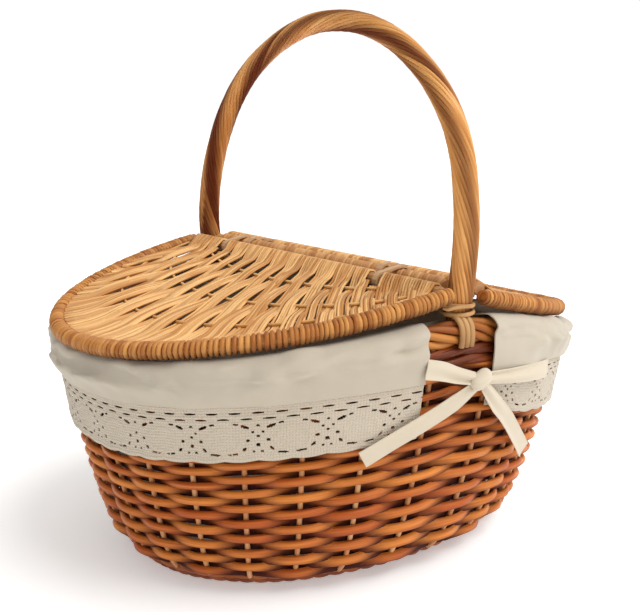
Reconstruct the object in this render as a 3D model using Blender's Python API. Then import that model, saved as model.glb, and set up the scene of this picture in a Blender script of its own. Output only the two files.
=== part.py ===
"""Oval willow picnic basket with two hinged half lids, an arched handle and a tied cloth liner.

Metres, +Z up. The origin is on the floor under the middle of the basket. The long axis is X, the arched
handle stands in the plane X = 0 with its feet at -Y (near) and +Y (far), and one lid lies on each side of it.
"""

import math

import bmesh
import bpy
from mathutils import Matrix, Vector

# ---- driving dimensions -------------------------------------------------------------------------
GAP = 0.0003                 # left between touching pieces
SEGMENTS = 44                # straight facets round the oval

OVAL_POWER = 2.18            # a true ellipse is 2
RIM_HALF = (0.195, 0.176)    # outside of the border, along X and Y
BASE_HALF = (0.151, 0.1116)  # outside of the wall where it leaves the foot
FLARE_START = 0.006
FLARE_TOP = 0.165
FLARE_POWER = 0.46
BORDER_TOP = 0.190           # at the handle
BORDER_DROP = {-1: 0.029, 1: 0.038}
BORDER_DROP_POWER = 1.4
HEM_HEIGHT = 0.117           # lace hem above the floor, at the handle
HEM_DROP = {-1: 0.0165, 1: 0.025}

FOOT_HEIGHT = 0.010
WALL = 0.008
WALE_WALL = 0.009
WALE_HEIGHT = 0.012
BORDER_SIZE = (0.015, 0.017)
STAKES = 28
STAKE_RADIUS = 0.0024
STAKE_INSET = WALE_WALL + 0.0013 + STAKE_RADIUS

HINGE_X = 0.0165
HINGE_Z = 0.2070
HINGE_ROD_RADIUS = 0.0045
CROSSBAR_RADIUS = 0.0075
CROSSBAR_ENDS = (-0.1535, 0.1530)
LID_HALF = (0.197, 0.173)
LID_TILT = {-1: math.radians(11.5), 1: math.radians(14.2)}
LID_RIM_RADIUS = 0.00575
PANEL = 0.004
RIB_RADIUS = 0.0016
LOOP_Y = {-1: 0.105, 1: 0.090}
LOOP_WIDTH = 0.005
LOOP_THICKNESS = 0.0016

HANDLE_RADIUS = 0.0082
HANDLE_TAIL_RADIUS = 0.0044

CLOTH = 0.0020
LINER_INSET = 0.0215
LACE_HEIGHT = 0.037
RIBBON = 0.0014
SKIRT_GAP = (-0.036, 0.019)  # bare stretch at each handle foot, from the left skirt to the right one
SIDES = {"left": -1, "right": 1}
ENDS = {"near": -1, "far": 1}


# ---- setting up ---------------------------------------------------------------------------------
def clear_scene():
    for item in list(bpy.data.objects):
        bpy.data.objects.remove(item, do_unlink=True)


def new_collection(name):
    collection = bpy.data.collections.new(name)
    bpy.context.scene.collection.children.link(collection)
    return collection


def new_material(name, colour, roughness):
    material = bpy.data.materials.new(name)
    material.use_nodes = True
    shader = material.node_tree.nodes["Principled BSDF"]
    shader.inputs["Base Color"].default_value = (*colour, 1.0)
    shader.inputs["Roughness"].default_value = roughness
    shader.inputs["Metallic"].default_value = 0.0
    return material


clear_scene()
BASKET = new_collection("picnic_basket")
CUTTERS = new_collection("cutters")
WILLOW = new_material("honey_willow", (0.48, 0.22, 0.08), 0.55)
LID_WILLOW = new_material("pale_willow", (0.60, 0.34, 0.14), 0.55)
HANDLE_WILLOW = new_material("handle_willow", (0.45, 0.22, 0.09), 0.50)
CANE = new_material("pale_cane", (0.66, 0.45, 0.25), 0.50)
COTTON = new_material("cotton_cloth", (0.72, 0.68, 0.60), 0.90)
LACE = new_material("cotton_lace", (0.74, 0.70, 0.62), 0.92)
TAPE = new_material("cotton_ribbon", (0.82, 0.77, 0.68), 0.88)


def finish(name, mesh, material, parent=None, smooth_angle=40.0):
    """Links a mesh as one named object, smooth where its facets meet at less than the angle."""
    mesh.materials.clear()
    mesh.materials.append(material)
    mesh.shade_smooth()
    mesh.set_sharp_from_angle(angle=math.radians(smooth_angle))
    item = bpy.data.objects.new(name, mesh)
    BASKET.objects.link(item)
    item.parent = parent
    return item


def loft(name, rings, material, closed=False):
    """Skins a run of equal rings of points. A run that isn't closed on itself gets a cap at each end."""
    shape = bmesh.new()
    rows = [[shape.verts.new(point) for point in ring] for ring in rings]
    count = len(rows[0])
    for first, second in zip(rows, rows[1:] + rows[:1] if closed else rows[1:]):
        for step in range(count):
            after = (step + 1) % count
            shape.faces.new((first[step], first[after], second[after], second[step]))
    if not closed:
        shape.faces.new(rows[0])
        shape.faces.new(rows[-1])
    bmesh.ops.recalc_face_normals(shape, faces=shape.faces[:])
    mesh = bpy.data.meshes.new(name)
    shape.to_mesh(mesh)
    shape.free()
    return finish(name, mesh, material)


def rod(name, points, radii, material, sides=4, parent=None):
    """A round rod along points, each with its own radius, as a closed mesh."""
    curve = bpy.data.curves.new(name, "CURVE")
    curve.dimensions = "3D"
    curve.bevel_depth = 1.0
    curve.bevel_resolution = sides
    curve.use_fill_caps = True
    spline = curve.splines.new("POLY")
    spline.points.add(len(points) - 1)
    for knot, point, radius in zip(spline.points, points, radii):
        knot.co = (*point, 1.0)
        knot.radius = radius
    return curve_to_mesh(name, curve, material, parent)


def plate(name, outlines, thickness, material, turn, place, parent=None):
    """A flat piece cut to 2D outlines, turned and placed in its parent's space."""
    curve = bpy.data.curves.new(name, "CURVE")
    curve.dimensions = "2D"
    curve.fill_mode = "BOTH"
    curve.extrude = thickness / 2
    for outline in outlines:
        spline = curve.splines.new("POLY")
        spline.points.add(len(outline) - 1)
        spline.use_cyclic_u = True
        for knot, point in zip(spline.points, outline):
            knot.co = (*point, 0.0, 1.0)
    return curve_to_mesh(name, curve, material, parent, Matrix.Translation(place) @ turn)


def curve_to_mesh(name, curve, material, parent, place=Matrix.Identity(4)):
    """Replaces a curve by its own mesh, with the loose caps welded on."""
    guide = bpy.data.objects.new(name + "_curve", curve)
    CUTTERS.objects.link(guide)
    bpy.context.view_layer.update()
    evaluated = guide.evaluated_get(bpy.context.evaluated_depsgraph_get())
    mesh = bpy.data.meshes.new_from_object(evaluated)
    bpy.data.objects.remove(guide, do_unlink=True)
    shape = bmesh.new()
    shape.from_mesh(mesh)
    bmesh.ops.remove_doubles(shape, verts=shape.verts[:], dist=0.00001)
    shape.to_mesh(mesh)
    shape.free()
    item = finish(name, mesh, material, parent)
    item.matrix_local = place
    return item


# ---- the oval and its heights -------------------------------------------------------------------
def oval_point(turn, half):
    """The point of the plan oval at an angle parameter, for half sizes along X and Y."""
    along, across = math.cos(turn), math.sin(turn)
    power = 2 / OVAL_POWER
    return (math.copysign(abs(along) ** power, along) * half[0],
            math.copysign(abs(across) ** power, across) * half[1])


def turn_at(x, half_x):
    """The angle parameter, on the +Y half, where the oval passes x."""
    return math.acos(math.copysign((abs(x) / half_x) ** (OVAL_POWER / 2), x))


def wall_half(z, out=0.0):
    """Half sizes of the wall's outside at a height, moved outwards by out."""
    rise = max(0.0, min(1.0, (z - FLARE_START) / (FLARE_TOP - FLARE_START))) ** FLARE_POWER
    return tuple(base + (rim - base) * rise + out for base, rim in zip(BASE_HALF, RIM_HALF))


def end_share(x):
    return min(1.0, abs(x) / RIM_HALF[0])


def side_of(x):
    return -1 if x < 0 else 1


def border_top(x):
    """The border dips from the handle towards each end."""
    return BORDER_TOP - BORDER_DROP[side_of(x)] * end_share(x) ** BORDER_DROP_POWER


def border_under(x):
    return border_top(x) - BORDER_SIZE[1]


def hem(x):
    return HEM_HEIGHT - HEM_DROP[side_of(x)] * end_share(x) ** 2


def around(section, start=0.0, end=2 * math.pi, steps=SEGMENTS, closed=True):
    """Sections of a profile carried round the oval, from one angle parameter to another."""
    count = steps if closed else steps + 1
    return [section(start + (end - start) * step / steps) for step in range(count)]


def section_points(turn, profile):
    """Places (half sizes, height) pairs of a profile at one angle of the oval."""
    return [(*oval_point(turn, half), z) for half, z in profile]


# ---- woven body ---------------------------------------------------------------------------------
BASE_DISC_HALF = (0.128, 0.089)
BASE_DISC = (0.0035, 0.0115)
FOOT_EDGE_HALF = (0.141, 0.1016)


def base_weave():
    edge = 0.0015
    low, high = BASE_DISC
    inner = tuple(half - edge for half in BASE_DISC_HALF)
    levels = [(inner, low), (BASE_DISC_HALF, low + edge), (BASE_DISC_HALF, high - edge), (inner, high)]
    turns = [2 * math.pi * step / SEGMENTS for step in range(SEGMENTS)]
    loft("base_weave", [[(*oval_point(turn, half), z) for turn in turns] for half, z in levels], WILLOW)


def foot_wale():
    """The ring of thicker rods that the basket stands on."""
    inner = tuple(half + GAP for half in BASE_DISC_HALF)
    middle = 0.005
    profile = [(inner, 0.0), (FOOT_EDGE_HALF, 0.0), (BASE_HALF, middle),
               (wall_half(FOOT_HEIGHT), FOOT_HEIGHT), (inner, FOOT_HEIGHT)]
    loft("foot_wale", around(lambda turn: section_points(turn, profile)), WILLOW, closed=True)


def wall_levels(low, high, count):
    """Heights from low to high, closer together near the foot where the wall curves."""
    return [low + (high - low) * (step / (count - 1)) ** 1.7 for step in range(count)]


def wall_section(turn):
    x = oval_point(turn, RIM_HALF)[0]
    levels = wall_levels(FOOT_HEIGHT + GAP, border_under(x) - WALE_HEIGHT - 2 * GAP, 7)
    outside = [(wall_half(z), z) for z in levels]
    inside = [(wall_half(z, -WALL), z) for z in reversed(levels)]
    return section_points(turn, outside + inside)


def wale_section(turn):
    x = oval_point(turn, RIM_HALF)[0]
    high = border_under(x) - GAP
    low = high - WALE_HEIGHT
    middle = (low + high) / 2
    bulge = 0.0006
    profile = [(wall_half(low), low), (wall_half(middle, bulge), middle), (wall_half(high), high),
               (wall_half(high, -WALE_WALL), high), (wall_half(low, -WALE_WALL), low)]
    return section_points(turn, profile)


def border_section(turn):
    """The rolled border is an oval rope, a little taller than it is thick."""
    x = oval_point(turn, RIM_HALF)[0]
    width, height = BORDER_SIZE
    centre = border_top(x) - height / 2
    profile = []
    for step in range(8):
        angle = math.pi / 8 + step * math.pi / 4
        reach = width / 2 * (math.cos(angle) / math.cos(math.pi / 8) - 1)
        lift = height / 2 * math.sin(angle) / math.cos(math.pi / 8)
        profile.append((tuple(half + reach for half in RIM_HALF), centre + lift))
    return section_points(turn, profile)


def woven_body():
    base_weave()
    foot_wale()
    loft("wall_weave", around(wall_section), WILLOW, closed=True)
    loft("top_wale", around(wale_section), WILLOW, closed=True)
    loft("top_border", around(border_section), WILLOW, closed=True)


def stake_path(turn):
    """One stake follows the inside of the wall from the base to just under the border."""
    x = oval_point(turn, RIM_HALF)[0]
    ring_z = BASE_DISC[1] + 2 * STAKE_RADIUS
    levels = wall_levels(ring_z, border_under(x) - 0.001, 5)
    return [(*oval_point(turn, wall_half(z, -STAKE_INSET)), z) for z in levels]


def stake_frame():
    """Upright stakes, all springing from one ring in the corner of the base."""
    ring_z = BASE_DISC[1] + 2 * STAKE_RADIUS
    ring_half = wall_half(ring_z, -STAKE_INSET)

    def ring_section(turn):
        return [(*oval_point(turn, tuple(half + reach for half in ring_half)), ring_z + lift)
                for reach, lift in ring_corners]

    size = STAKE_RADIUS + GAP
    ring_corners = [(size, 0.0), (0.0, size), (-size, 0.0), (0.0, -size)]
    frame = loft("stake_frame", around(ring_section), WILLOW, closed=True)
    stakes = []
    for step in range(STAKES):
        turn = 2 * math.pi * (step + 0.5) / STAKES
        path = stake_path(turn)
        stake = rod(f"stake_{step + 1}", path, [STAKE_RADIUS] * len(path), WILLOW, sides=0)
        BASKET.objects.unlink(stake)
        stakes.append(stake)
    join_union(frame, stakes)


def join_union(item, others):
    """Merges other closed shapes into an object, one by one."""
    for other in others:
        CUTTERS.objects.link(other)
        union = item.modifiers.new("union", "BOOLEAN")
        union.operation = "UNION"
        union.object = other
        apply_modifiers(item)
        bpy.data.objects.remove(other, do_unlink=True)


def cut_away(item, cutters):
    """Cuts closed shapes out of an object, one by one."""
    for cutter in cutters:
        cut = item.modifiers.new("cut", "BOOLEAN")
        cut.operation = "DIFFERENCE"
        cut.object = cutter
        apply_modifiers(item)


def apply_modifiers(item):
    """Puts the evaluated mesh in place of the object's own and drops its modifiers."""
    bpy.context.view_layer.update()
    evaluated = item.evaluated_get(bpy.context.evaluated_depsgraph_get())
    mesh = bpy.data.meshes.new_from_object(evaluated)
    item.modifiers.clear()
    item.data = mesh


# ---- handle -------------------------------------------------------------------------------------
# The handle's centre line in its own plane (Y, Z), from the near tail over the arch to the far tail.
NEAR_TAIL = [(-0.1550, 0.135), (-0.1565, 0.150), (-0.1575, 0.172), (-0.1590, 0.186)]
ARCH = [(-0.1635, 0.1975), (-0.1665, 0.208), (-0.1680, 0.2220), (-0.1695, 0.2380), (-0.1697, 0.2560),
        (-0.1677, 0.2740), (-0.1640, 0.2925), (-0.1560, 0.3120), (-0.1425, 0.3310), (-0.1235, 0.3490),
        (-0.0980, 0.3655), (-0.0660, 0.3780), (-0.0320, 0.3838), (0.0030, 0.3838), (0.0360, 0.3775),
        (0.0680, 0.3665), (0.0960, 0.3520), (0.1190, 0.3345), (0.1370, 0.3150), (0.1510, 0.2945),
        (0.1612, 0.2740), (0.1680, 0.2540), (0.1715, 0.2340), (0.1710, 0.2160), (0.1665, 0.2000)]
FAR_TAIL = [(0.1595, 0.186), (0.1578, 0.172), (0.1565, 0.150), (0.1550, 0.135)]


def handle_bow():
    outline = NEAR_TAIL + ARCH + FAR_TAIL
    radii = [HANDLE_TAIL_RADIUS] * len(NEAR_TAIL) + [HANDLE_RADIUS] * len(ARCH)
    radii += [HANDLE_TAIL_RADIUS] * len(FAR_TAIL)
    return rod("handle_bow", [(0.0, y, z) for y, z in outline], radii, HANDLE_WILLOW)


def tail_sockets():
    """Widened copies of the handle's tails, for the notches that the border leaves them."""
    sockets = []
    play = 3 * GAP
    for name, tail, foot in (("near_socket", NEAR_TAIL, ARCH[0]), ("far_socket", FAR_TAIL[::-1], ARCH[-1])):
        path = [(0.0, y, z) for y, z in tail + [foot]]
        radii = [HANDLE_TAIL_RADIUS + play] * len(tail) + [HANDLE_RADIUS + play]
        socket = rod(name, path, radii, HANDLE_WILLOW)
        BASKET.objects.unlink(socket)
        CUTTERS.objects.link(socket)
        socket.hide_render = True
        socket.display_type = "WIRE"
        sockets.append(socket)
    return sockets


def foot_lashing(end_name, end):
    """Cane wound twice round the handle just above the border."""
    foot = ARCH[0] if end < 0 else ARCH[-1]
    levels = [foot[1] - 0.0030, foot[1] + 0.0018]
    centre = Vector((0.0, foot[0] + end * 0.0004, 0.0))
    inner, outer = HANDLE_RADIUS + 0.0016, HANDLE_RADIUS + 0.0046
    profile = [(inner, levels[0]), (outer, levels[0]), (outer + 0.0006, sum(levels) / 2),
               (outer, levels[1]), (inner, levels[1])]
    steps = 20
    rings = []
    for step in range(steps):
        angle = 2 * math.pi * step / steps
        rings.append([centre + Vector((math.cos(angle) * reach, math.sin(angle) * reach, z))
                      for reach, z in profile])
    loft(f"{end_name}_handle_lashing", rings, CANE, closed=True)


def border_strap(end_name, end):
    """A cane strap that hugs the outside of the border under the handle."""
    half_width = 0.0050
    reach = RIM_HALF[1] + 2 * GAP
    thick = 0.0018
    top, under = border_top(0.0), border_under(0.0)
    lip = 0.0035
    outer = [(reach - lip, top + GAP + thick), (reach + thick, top - 0.0040), (reach + thick, under)]
    inner = [(reach, under), (reach, top - 0.0045), (reach - lip, top + GAP)]
    rings = [[(x, end * y, z) for y, z in outer + inner] for x in (-half_width, half_width)]
    loft(f"{end_name}_border_strap", rings, CANE)


# ---- hinge and lids -----------------------------------------------------------------------------
def crossbar():
    """The fixed bar between the handle's feet that both lids are looped to."""
    ends = [(0.0, y, HINGE_Z) for y in CROSSBAR_ENDS]
    rod("crossbar", ends, [CROSSBAR_RADIUS] * 2, HANDLE_WILLOW)


def circle_arc(centre, radius, start, end, steps):
    return [(centre + math.cos(start + (end - start) * step / steps) * radius,
             math.sin(start + (end - start) * step / steps) * radius) for step in range(steps + 1)]


def loop_outline(side, clearance):
    """An outline drawn round the crossbar and a lid's hinge rod beside it."""
    bar, hinge = CROSSBAR_RADIUS + clearance, HINGE_ROD_RADIUS + clearance
    bar_arc = circle_arc(0.0, bar, -math.pi / 2, math.pi / 2, 7)
    hinge_arc = circle_arc(-HINGE_X, hinge, math.pi / 2, 3 * math.pi / 2, 7)
    return [(-side * x, z) for x, z in bar_arc + hinge_arc]


def hinge_loop(side_name, side, end_name, end):
    play = 0.0005
    outlines = [loop_outline(side, play + LOOP_THICKNESS), loop_outline(side, play)]
    turn = Matrix.Rotation(math.radians(90), 4, "X")
    place = Vector((0.0, end * LOOP_Y[side], HINGE_Z))
    plate(f"{side_name}_hinge_loop_{end_name}", outlines, LOOP_WIDTH, CANE, turn, place)


def lid_space(side_name, side):
    """An empty on the lid's hinge axis. Its +X runs out along the sloping lid and its +Z out of its top."""
    space = bpy.data.objects.new(f"{side_name}_lid_space", None)
    BASKET.objects.link(space)
    half_turn = Matrix.Rotation(math.pi if side < 0 else 0.0, 4, "Z")
    tilt = Matrix.Rotation(LID_TILT[side], 4, "Y")
    space.matrix_world = Matrix.Translation((side * HINGE_X, 0.0, HINGE_Z)) @ half_turn @ tilt
    return space


def lid_point(side, turn, scale=1.0, inset=0.0):
    """A point of the lid's half oval in its own plane, at an angle parameter from -90 to 90 degrees."""
    along = (LID_HALF[0] * scale - inset) * math.cos(turn)
    across = (LID_HALF[1] * scale - inset) * math.sin(turn)
    return ((along - HINGE_X) / math.cos(LID_TILT[side]), across)


def lid_turns(scale, start_x, steps, inset=0.0):
    """Angle parameters over the half oval, between the two points at start_x from the hinge axis."""
    limit = math.acos((HINGE_X + start_x) / (LID_HALF[0] * scale - inset))
    return [limit * (2 * step / steps - 1) for step in range(steps + 1)]


def lid_frame(side_name, side, space):
    points = [(*lid_point(side, turn), 0.0) for turn in lid_turns(1.0, 0.0, 30)]
    rod(f"{side_name}_lid_frame", points, [LID_RIM_RADIUS] * len(points), LID_WILLOW, sides=2, parent=space)


def lid_hinge_rod(side_name, side, space):
    reach = lid_point(side, lid_turns(1.0, 0.0, 2)[-1])[1] - LID_RIM_RADIUS - 2 * GAP
    ends = [(0.0, -reach, 0.0), (0.0, reach, 0.0)]
    rod(f"{side_name}_lid_hinge_rod", ends, [HINGE_ROD_RADIUS] * 2, LID_WILLOW, parent=space)


def panel_outline(side):
    """The woven panel fills the frame, with a notch round each hinge loop."""
    inset = LID_RIM_RADIUS + 2 * GAP
    start_x = HINGE_ROD_RADIUS + 2 * GAP
    rim = [lid_point(side, turn, inset=inset) for turn in lid_turns(1.0, start_x, 28, inset=inset)]
    deep = HINGE_ROD_RADIUS + LOOP_THICKNESS + 0.0028
    half_notch = LOOP_WIDTH / 2 + 0.0025
    outline = list(rim)
    for end in (1, -1):
        centre = end * LOOP_Y[side]
        outline += [(start_x, centre + half_notch), (deep, centre + half_notch),
                    (deep, centre - half_notch), (start_x, centre - half_notch)]
    return outline


def lid_ribs(side_name, side, space):
    """Three bent rods under the weave, each parallel to the lid's rim."""
    for number, scale in enumerate((0.42, 0.63, 0.84), start=1):
        height = -(PANEL / 2 + RIB_RADIUS + GAP)
        points = [(*lid_point(side, turn, scale), height) for turn in lid_turns(scale, 0.0115, 18)]
        radii = [RIB_RADIUS] * len(points)
        rod(f"{side_name}_lid_rib_{number}", points, radii, LID_WILLOW, sides=1, parent=space)


def lid(side_name, side):
    space = lid_space(side_name, side)
    lid_frame(side_name, side, space)
    lid_hinge_rod(side_name, side, space)
    flat = Matrix.Identity(4)
    plate(f"{side_name}_lid_weave", [panel_outline(side)], PANEL, LID_WILLOW, flat, Vector(), parent=space)
    lid_ribs(side_name, side, space)


# ---- cloth --------------------------------------------------------------------------------------
def liner_bag():
    """The lining inside the basket: an open bag with a flat bottom."""
    floor = BASE_DISC[1] + 0.002
    corner = 0.008
    turns = [2 * math.pi * step / SEGMENTS for step in range(SEGMENTS)]
    bottom = tuple(half - LINER_INSET for half in wall_half(floor + corner))
    lower = tuple(half - corner for half in bottom)

    def ring(half, z, thickness):
        return [(*oval_point(turn, tuple(size - thickness for size in half)), z) for turn in turns]

    def side_ring(share, thickness):
        points = []
        for turn in turns:
            high = border_top(oval_point(turn, RIM_HALF)[0]) - 0.002
            z = floor + corner + (high - floor - corner) * share
            points.append((*oval_point(turn, wall_half(z, -LINER_INSET - thickness)), z))
        return points

    shares = (0.0, 0.12, 0.35, 0.65, 1.0)
    outside = [ring(lower, floor, 0.0)] + [side_ring(share, 0.0) for share in shares]
    inside = [side_ring(share, CLOTH) for share in reversed(shares)] + [ring(lower, floor + CLOTH, CLOTH)]
    loft("liner_bag", outside + inside, COTTON)


def skirt_span(side):
    """The angle parameters between which a skirt runs round its end of the basket."""
    if side < 0:
        start = turn_at(SKIRT_GAP[0], RIM_HALF[0])
        return start, 2 * math.pi - start
    reach = turn_at(SKIRT_GAP[1], RIM_HALF[0])
    return -reach, reach


def skirt_section(turn):
    """The skirt folds over the border and hangs close to the wall down to the lace."""
    x = oval_point(turn, RIM_HALF)[0]
    top = border_top(x)
    low = hem(x) + LACE_HEIGHT
    width = BORDER_SIZE[0]
    rim = [tuple(half + reach for half in RIM_HALF) for reach in
           (-width - 0.0034, -width - 0.0030, -width + 0.0030, -0.0030, 0.0030, 0.0036)]
    outside = [(rim[0], top - 0.010), (rim[1], top + 0.0002), (rim[2], top + 0.0026),
               (rim[3], top + 0.0026), (rim[4], top - 0.0010), (rim[5], top - 0.010),
               (wall_half(low, 0.0040), low)]
    inner = [tuple(half + reach for half in RIM_HALF) for reach in
             (-width - 0.0016, -width - 0.0014, -width + 0.0036, -0.0036, 0.0014, 0.0020)]
    inside = [(inner[0], top - 0.010), (inner[1], top - 0.0004), (inner[2], top + 0.0008),
              (inner[3], top + 0.0008), (inner[4], top - 0.0026), (inner[5], top - 0.010),
              (wall_half(low, 0.0024), low)]
    return section_points(turn, outside + inside[::-1])


def lace_section(turn):
    x = oval_point(turn, RIM_HALF)[0]
    low, high = hem(x), hem(x) + LACE_HEIGHT - GAP
    profile = [(wall_half(low, 0.0032), low), (wall_half(high, 0.0034), high),
               (wall_half(high, 0.0018), high), (wall_half(low, 0.0016), low)]
    return section_points(turn, profile)


def skirts():
    for side_name, side in SIDES.items():
        start, end = skirt_span(side)
        for name, section, material in (("skirt", skirt_section, COTTON), ("lace", lace_section, LACE)):
            rings = around(section, start, end, steps=24, closed=False)
            loft(f"{side_name}_{name}", rings, material)


# Ribbon centre lines on the near side: (X, height, how far off the wall). The far side mirrors them.
KNOT = (0.0085, 0.1495)
KNOT_OFF = 0.0085
LEADS = {"left": [(-0.0376, 0.1615, 0.0056), (-0.026, 0.1590, 0.0058), (-0.014, 0.1555, 0.0062),
                  (0.0015, 0.1515, 0.0080)],
         "right": [(0.0850, 0.1465, 0.0064), (0.060, 0.1480, 0.0064), (0.036, 0.1490, 0.0066),
                   (0.0155, 0.1498, 0.0080)]}
TAILS = {"left": [(0.0030, 0.1395, 0.0080), (-0.014, 0.1335, 0.0075), (-0.034, 0.1240, 0.0066),
                  (-0.052, 0.1150, 0.0064), (-0.067, 0.1060, 0.0062)],
         "right": [(0.0145, 0.1395, 0.0080), (0.025, 0.1310, 0.0075), (0.040, 0.1180, 0.0064),
                   (0.060, 0.0990, 0.0050), (0.079, 0.0810, 0.0044)]}
RIBBON_WIDTH = {"lead": 0.0150, "tail": 0.0125}
KNOT_WIDTH = 0.0070


def wall_place(end, x, z, off):
    """A point off the wall's outside at X and a height, on the near or far face."""
    half = wall_half(z, off)
    return Vector((x, end * half[1] * (1 - (abs(x) / half[0]) ** OVAL_POWER) ** (1 / OVAL_POWER), z))


def ribbon(name, end, route, widths):
    """A flat cloth ribbon lying along the wall, its width across its own run."""
    points = [wall_place(end, *spot) for spot in route]
    rings = []
    for step, (point, width) in enumerate(zip(points, widths)):
        run = (points[min(step + 1, len(points) - 1)] - points[max(step - 1, 0)]).normalized()
        out = Vector((0.0, end, 0.0))
        out = (out - run * out.dot(run)).normalized()
        across = run.cross(out)
        half, thick = across * width / 2, out * RIBBON / 2
        rings.append([point - half - thick, point + half - thick, point + half + thick, point - half + thick])
    loft(name, rings, TAPE)


def knot(end_name, end):
    """The knot that holds the four ribbon ends, a rounded lump."""
    shape = bmesh.new()
    bmesh.ops.create_uvsphere(shape, u_segments=12, v_segments=8, radius=1.0)
    mesh = bpy.data.meshes.new(f"{end_name}_knot")
    shape.to_mesh(mesh)
    shape.free()
    centre = wall_place(end, KNOT[0], KNOT[1], KNOT_OFF)
    size = Matrix.Diagonal((0.0062, 0.0052, 0.0088, 1.0))
    mesh.transform(Matrix.Translation(centre) @ size)
    finish(f"{end_name}_knot", mesh, TAPE, smooth_angle=60.0)


def ties(end_name, end):
    for side_name in SIDES:
        lead = [RIBBON_WIDTH["lead"]] * (len(LEADS[side_name]) - 1) + [KNOT_WIDTH]
        tail = [KNOT_WIDTH] + [RIBBON_WIDTH["tail"]] * (len(TAILS[side_name]) - 1)
        ribbon(f"{end_name}_{side_name}_tie", end, LEADS[side_name], lead)
        ribbon(f"{end_name}_{side_name}_tail", end, TAILS[side_name], tail)
    knot(end_name, end)


# ---- assembly -----------------------------------------------------------------------------------
woven_body()
stake_frame()
handle_bow()
cut_away(bpy.data.objects["top_border"], tail_sockets())
crossbar()
for END_NAME, END in ENDS.items():
    foot_lashing(END_NAME, END)
    border_strap(END_NAME, END)
    ties(END_NAME, END)
for SIDE_NAME, SIDE in SIDES.items():
    for END_NAME, END in ENDS.items():
        hinge_loop(SIDE_NAME, SIDE, END_NAME, END)
    lid(SIDE_NAME, SIDE)
liner_bag()
skirts()
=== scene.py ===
"""Looks of an oval willow picnic basket: each rod of its weave, two lids, its handle and its cotton lining.

Metres, +Z up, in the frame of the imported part. The handle stands in the plane X = 0, its near foot at -Y.
"""

import math
import random

import bpy
import numpy as np
from mathutils import Matrix, Vector, noise


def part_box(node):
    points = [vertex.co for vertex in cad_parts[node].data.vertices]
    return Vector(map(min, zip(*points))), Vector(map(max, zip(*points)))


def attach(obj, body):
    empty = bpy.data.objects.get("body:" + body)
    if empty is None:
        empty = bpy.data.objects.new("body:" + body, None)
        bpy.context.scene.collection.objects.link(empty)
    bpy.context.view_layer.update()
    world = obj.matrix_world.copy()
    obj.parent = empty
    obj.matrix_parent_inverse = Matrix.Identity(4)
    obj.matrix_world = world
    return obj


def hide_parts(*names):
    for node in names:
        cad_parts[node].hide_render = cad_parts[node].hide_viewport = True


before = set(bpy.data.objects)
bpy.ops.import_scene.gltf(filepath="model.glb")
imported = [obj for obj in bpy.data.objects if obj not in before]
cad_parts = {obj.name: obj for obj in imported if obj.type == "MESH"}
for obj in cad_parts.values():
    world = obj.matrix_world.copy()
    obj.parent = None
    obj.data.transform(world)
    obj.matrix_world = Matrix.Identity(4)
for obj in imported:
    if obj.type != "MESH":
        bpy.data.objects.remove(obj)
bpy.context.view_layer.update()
chance = random.Random(7)


# ---- base -----------------------------------------------------------------------------------------
# The oval bottom: rods woven round spokes, lying inside a thick foot wale that the basket stands on.
# Whole buff willow, boiled so that it comes out red-brown.
OVAL_POWER = 2.18
BASE_HALF = (0.151, 0.1116)
RIM_HALF = (0.195, 0.176)
FLARE_START, FLARE_TOP, FLARE_POWER = 0.006, 0.165, 0.46
STAKES = 28
BASE_EDGE = (0.1262, 0.0872)
BASE_MIDDLE = 0.0077
BASE_ROUNDS, BASE_PITCH, BASE_ROD = 15, 0.0056, 0.0019
SPOKE_LENGTH = 0.082


def oval_point(turn, half):
    """The point of the plan oval at an angle parameter, for half sizes along X and Y."""
    along, across = math.cos(turn), math.sin(turn)
    power = 2 / OVAL_POWER
    return (math.copysign(abs(along) ** power, along) * half[0],
            math.copysign(abs(across) ** power, across) * half[1])


def wall_half(z, out=0.0):
    """Half sizes of the wall's outside at a height, moved outwards by out."""
    rise = max(0.0, min(1.0, (z - FLARE_START) / (FLARE_TOP - FLARE_START))) ** FLARE_POWER
    return tuple(base + (rim - base) * rise + out for base, rim in zip(BASE_HALF, RIM_HALF))


def clamp(value, high=1.0):
    return max(0.0, min(high, value))


def full_turn(steps):
    """Angles in even steps once round."""
    return [2 * math.pi * step / steps for step in range(steps)]


def new_item(name, data):
    """A new object in the scene, alone selected and active."""
    item = bpy.data.objects.new(name, data)
    bpy.context.scene.collection.objects.link(item)
    bpy.ops.object.select_all(action="DESELECT")
    item.select_set(True)
    bpy.context.view_layer.objects.active = item
    return item


def edit_whole(change):
    """Makes one change in edit mode to the whole of the active piece."""
    bpy.ops.object.mode_set(mode="EDIT")
    bpy.ops.mesh.select_all(action="SELECT")
    change()
    bpy.ops.object.mode_set(mode="OBJECT")


def put_attribute(mesh, name, kind, values):
    layer = mesh.attributes.new(name, kind, "POINT")
    field = "vector" if kind == "FLOAT_VECTOR" else "value"
    layer.data.foreach_set(field, np.asarray(values, np.float32).ravel())


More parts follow.
